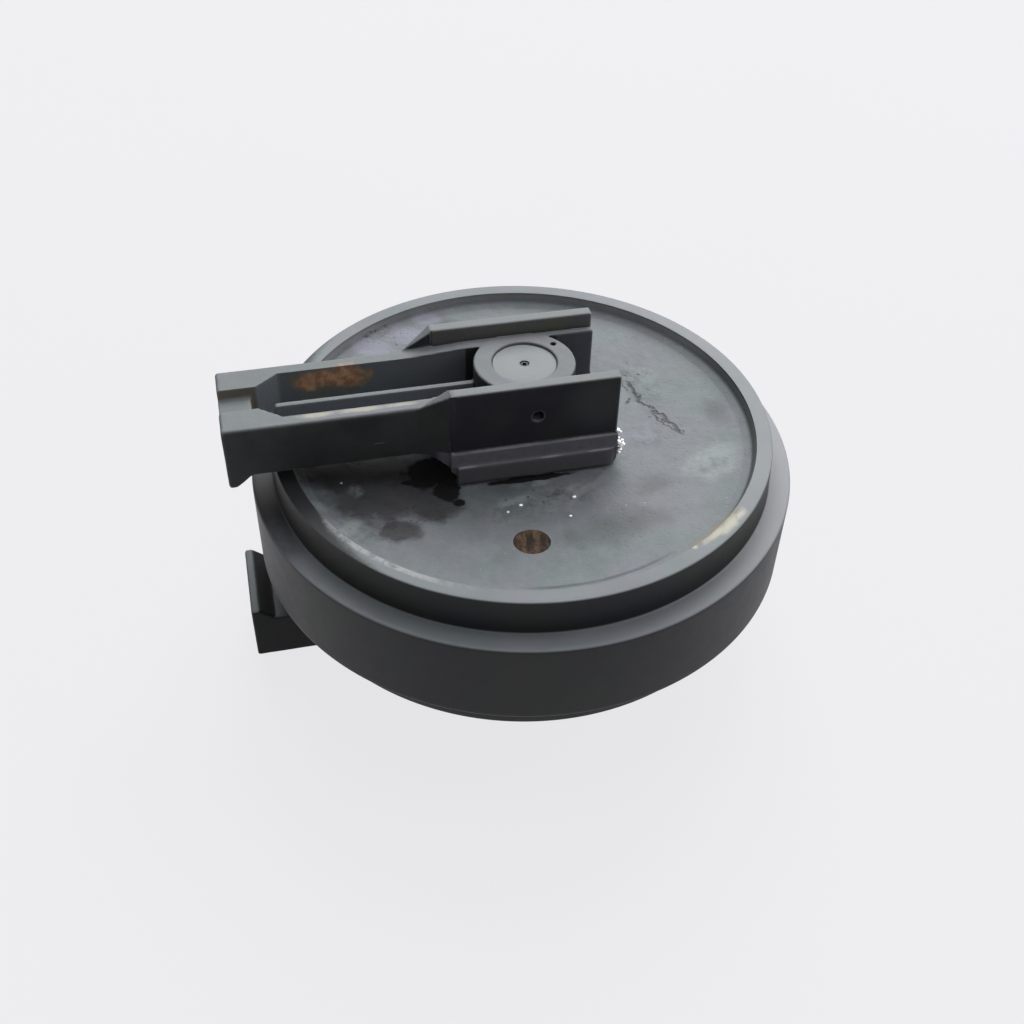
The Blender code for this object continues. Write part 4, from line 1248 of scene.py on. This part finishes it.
def make_plate_paint(name, wear):
    paint = Paint(name)
    y = paint.part(paint.point, "Y")
    cloud = paint.grain(14.0, 4.0)
    fine = paint.grain(380.0, 4.0, 0.6, (0.25, 1, 1))
    dust = dust_on_top(paint, 0.60, 0.98)
    paint.colour = paint.blend(paint.grain(18.0, 4.0).above(0.4, 0.65), *PLATE_TINTS)
    paint.cover(paint.spot(DUSTY_PLACE, DUSTY_SIZE, 0.9) * 0.8, DUSTY_TINT)
    # Painted light on the far plate's inner face, which looks to the front
    facing_front = paint.part(paint.facing, "Y").above(-0.4, -0.8)
    inner = facing_front * y.above(FAR_PLATE_INNER - 20 * MM, FAR_PLATE_INNER)
    paint.cover(inner, paint.blend(paint.grain(25.0, 4.0).above(0.4, 0.65), *FAR_INNER_LIGHT_TINTS))
    # Dust with a painted sheen on the plates' tops
    paint.cover(dust * (0.7 + 0.4 * cloud), PLATE_DUST_AND_SHEEN)
    # Edges lightened as rubbed paint and painted highlight
    paint.cover(worn_and_highlit_edges(paint) * wear, PLATE_EDGE_TINT)
    roughness = 0.44 + 0.14 * cloud
    return paint.finish(paint.colour, roughness, 0.0, paint.height(fine, 0.00022), 0.16)


PLATE_PAINT = make_plate_paint("plate_paint", 0.7)
WELD_PAINT = make_plate_paint("dressed_weld_paint", 0.0)
PLATE_NODES = sorted(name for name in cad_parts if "slide_plate" in name)


def make_slide_plate(node):
    name = f"{node}_steel"
    mesh = mesh_alone(soft_copy(node, name, PLATE_VOXEL, PLATE_RELIEF), name)
    return add_piece(name, mesh, PLATE_PAINT, "carrier", "slide_plate", node)


slide_plates = [make_slide_plate(node) for node in PLATE_NODES]

# %% [markdown]
# Where a plate's left end meets the bracket's flare, the joint is welded and dressed flush under the paint.
# A thin filler follows both faces there, and its two ends sink just below them.

# %% Dressed welds
FLARE_SLOPE = 12.0 / 30.0
FLARE_RISE = 18.5 / 30.0
WELD_LEFT = 5 * MM
WELD_RIGHT = 6 * MM
WELD_DEPTH = 11 * MM
WELD_CORNER = 1.2 * MM
WELD_SINK = 0.25 * MM
WELD_PROUD = 0.04 * MM


def make_dressed_weld(node):
    """A closed strip through five sections, each an outline drawn from the plate's outer top corner."""
    low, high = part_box(node)
    side = math.copysign(1, low.y + high.y)
    up = math.copysign(1, low.z + high.z - 2 * MIDDLE_Z)
    outer = max(abs(low.y), abs(high.y))
    top = max(abs(low.z - MIDDLE_Z), abs(high.z - MIDDLE_Z))
    bottom = top - (high.z - low.z)
    sections = (
        (low.x - WELD_LEFT, WELD_LEFT * FLARE_SLOPE + WELD_SINK, WELD_LEFT * FLARE_RISE + WELD_SINK),
        (low.x - 1.2 * MM, 0.35 * MM, 0.5 * MM),
        (low.x + 0.3 * MM, -WELD_PROUD, -WELD_PROUD),
        (low.x + WELD_RIGHT / 2, -WELD_PROUD, -WELD_PROUD),
        (low.x + WELD_RIGHT, WELD_SINK, WELD_SINK),
    )
    work = bmesh.new()
    rings = []
    for x, inset, drop in sections:
        y, z = outer - inset, top - drop
        corners = [
            (y - WELD_DEPTH, bottom + WELD_CORNER),
            (y, bottom + WELD_CORNER),
            (y, z - WELD_CORNER),
            (y - 0.3 * WELD_CORNER, z - 0.3 * WELD_CORNER),
            (y - WELD_CORNER, z),
            (y - WELD_DEPTH, z),
        ]
        rings.append([work.verts.new((x, side * a, MIDDLE_Z + up * b)) for a, b in corners])
    for ring, following in zip(rings, rings[1:]):
        for i in range(len(ring)):
            work.faces.new((ring[i - 1], ring[i], following[i], following[i - 1]))
    work.faces.new(rings[0])
    work.faces.new(rings[-1])
    bmesh.ops.recalc_face_normals(work, faces=work.faces)
    mesh = mesh_from(work, f"{node}_weld")
    return add_piece(f"{node}_weld", mesh, WELD_PAINT, "carrier", "slide_plate")


welds = [make_dressed_weld(node) for node in PLATE_NODES]

# %% [markdown]
# ## Axle and oil plug
#
# Only the axle's two end faces are seen. They are turned, so faint rings run round them under the paint,
# and the oil is filled through a plug in the middle of the upper one.

# %% Axle
AXLE_TINTS = ((0.055, 0.058, 0.060), (0.212, 0.236, 0.243))
TURNING_RINGS = 9000.0
AXLE_ROUNDING = 0.4 * MM
OIL_BORE_RADIUS = 3 * MM
PLUG_SEAT_RADIUS = 4.7 * MM
PLUG_SEAT_DEPTH = 13.1 * MM


def make_axle_paint():
    paint = Paint("axle_paint")
    x = paint.part(paint.point, "X")
    y = paint.part(paint.point, "Y")
    radius = (x * x + y * y) ** 0.5
    rings = (radius * TURNING_RINGS).math("SINE")
    cloud = paint.grain(40.0, 4.0)
    dust = dust_on_top(paint, 0.6, 0.95)
    colour = paint.blend(dust * (0.72 + 0.35 * cloud), *AXLE_TINTS)
    normal = paint.height(rings, 0.000006)
    normal = paint.height(paint.grain(300.0, 4.0), 0.0002, normal)
    return paint.finish(colour, 0.40 + 0.15 * cloud, 0.0, normal, 0.45)


def make_axle():
    top = AXLE_HALF_LENGTH
    seat_floor = top - PLUG_SEAT_DEPTH
    bore_end = -2 * OIL_BORE_RADIUS
    corners = [
        (0, -top, 0),
        (AXLE_RADIUS, -top, AXLE_ROUNDING),
        (AXLE_RADIUS, top, AXLE_ROUNDING),
        (PLUG_SEAT_RADIUS, top, 0.3 * MM),
        (PLUG_SEAT_RADIUS, seat_floor, 0),
        (OIL_BORE_RADIUS, seat_floor, 0),
        (OIL_BORE_RADIUS, bore_end, 0),
        (0, bore_end, 0),
    ]
    mesh = turned_mesh("axle_bar", rounded(corners, 3), 160)
    return add_piece("axle_bar", mesh, make_axle_paint(), "carrier", "axle", "axle_shaft")


axle = make_axle()


# %% Oil plug
SOCKET_RADIUS = 2.5 * MM
SOCKET_DEPTH = 5 * MM
DARK_SHARE = 0.55


def make_metal(name, colour, metallic, rough):
    """Unpainted metal, clouded by a darker tone of its colour."""
    paint = Paint(name)
    cloud = paint.grain(180.0, 4.0)
    dark = tuple(DARK_SHARE * part for part in colour)
    tint = paint.blend(cloud, dark, colour)
    return paint.finish(tint, rough + 0.2 * cloud, metallic, paint.height(cloud, 0.0001), 0.4)


DARK_STEEL = make_metal("dark_steel", (0.05, 0.052, 0.055), 0.4, 0.4)


def make_oil_plug():
    """A hexagon socket screw with a chamfered head edge, sunk into the axle's end."""
    low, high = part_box("oil_plug")
    radius = (high.x - low.x) / 2
    corners = [
        (0, low.z, 0),
        (radius, low.z, 0.5 * MM),
        (radius, high.z, 0.7 * MM),
        (0, high.z, 0),
    ]
    piece = link_new("plug", turned_mesh("plug", rounded(corners, 3), 48, 0))
    hexagon = [
        (0, -SOCKET_DEPTH),
        (SOCKET_RADIUS, -SOCKET_DEPTH),
        (SOCKET_RADIUS, SOCKET_DEPTH),
        (0, SOCKET_DEPTH),
    ]
    cut(piece, turned_mesh("socket", hexagon, 6, high.z))
    mesh = mesh_alone(piece, "oil_plug_screw")
    return add_piece("oil_plug_screw", mesh, DARK_STEEL, "carrier", "small_steel", "oil_plug")


oil_plug = make_oil_plug()

# %% [markdown]
# ## Weld spatter
#
# Bright drops sit where the near slide plate and the foot end at the right, and a few lie on the web. They
# are what a welder leaves behind, so each is a flattened drop of bare metal with a lumpy form of its own.
# Each row gives x, y, the height above the wheel's middle plane and the radius in millimetres.

# %% Drops
DROPS = (
    (80.8, -59.0, 106.0, 2.0),
    (83.4, -59.8, 104.0, 1.3),
    (82.0, -60.4, 97.0, 1.3),
    (83.2, -60.2, 91.0, 2.4),
    (85.2, -59.8, 88.0, 3.0),
    (85.8, -60.0, 93.0, 1.5),
    (84.0, -60.0, 82.6, 2.2),
    (83.4, -60.4, 78.0, 1.7),
    (-25.0, -101.0, 64.1, 1.7),
    (-39.0, -108.0, 63.8, 1.2),
    (28.0, -100.0, 64.4, 1.8),
    (18.0, -125.0, 63.5, 1.4),
    (-189.0, -40.0, 68.0, 1.1),
)
PLATE_DROPS = 8
DROP_SPREAD = 1.25
DROP_FLATNESS = 0.7
DROP_LUMPS = 0.25
DROP_TINTS = ((0.65, 0.66, 0.66), (0.95, 0.95, 0.95))


def make_bright_metal():
    paint = Paint("bare_drops")
    cloud = paint.grain(600.0, 3.0)
    colour = paint.blend(cloud, *DROP_TINTS)
    return paint.finish(colour, 0.22 + 0.3 * cloud, 0.9, paint.height(cloud, 0.0002), 0.5)


def make_drops(name, drops, body):
    work = bmesh.new()
    for x, y, h, radius in drops:
        made = bmesh.ops.create_icosphere(work, subdivisions=3, radius=DROP_SPREAD * radius * MM)
        place = Vector((x * MM, y * MM, MIDDLE_Z + h * MM))
        for vertex in made["verts"]:
            lump = 1 + DROP_LUMPS * noise.noise(vertex.co / MM + place * 900)
            flat = Vector((vertex.co.x, vertex.co.y, vertex.co.z * DROP_FLATNESS))
            vertex.co = place + flat * lump
    slot = "slide_plate" if body == "carrier" else "wheel_casting"
    return add_piece(name, mesh_from(work, name), BRIGHT_METAL, body, slot)


BRIGHT_METAL = make_bright_metal()
make_drops("plate_spatter", DROPS[:PLATE_DROPS], "carrier")
make_drops("web_spatter", DROPS[PLATE_DROPS:], "wheel")

# %% [markdown]
# ## What the castings hide
#
# Bushes, seal rings, rubber rings and lock pins keep the model's own meshes. They are only seen where a gap
# lets one look in, but each has the finish of its material.

# %% Finishes of the inner pieces
RUBBER_TINTS = ((0.012, 0.012, 0.013), (0.03, 0.03, 0.032))


def make_rubber():
    paint = Paint("seal_rubber")
    bloom = paint.grain(120.0, 4.0)
    colour = paint.blend(bloom, *RUBBER_TINTS)
    return paint.finish(colour, 0.5 + 0.25 * bloom, 0.0, paint.height(bloom, 0.0001), 0.4)


RUBBER = make_rubber()
INNER_FINISHES = {
    "bush": make_metal("bush_bronze", (0.50, 0.33, 0.14), 0.9, 0.28),
    "seal_ring": make_metal("seal_iron", (0.42, 0.42, 0.43), 0.9, 0.16),
    "toric": RUBBER,
    "o_ring": RUBBER,
    "lock_pin": DARK_STEEL,
}
for name, node in sorted(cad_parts.items()):
    for word, finish in INNER_FINISHES.items():
        if name.endswith(word):
            node.data.materials.clear()
            node.data.materials.append(finish)
            print(f"{name}: {finish.name}")
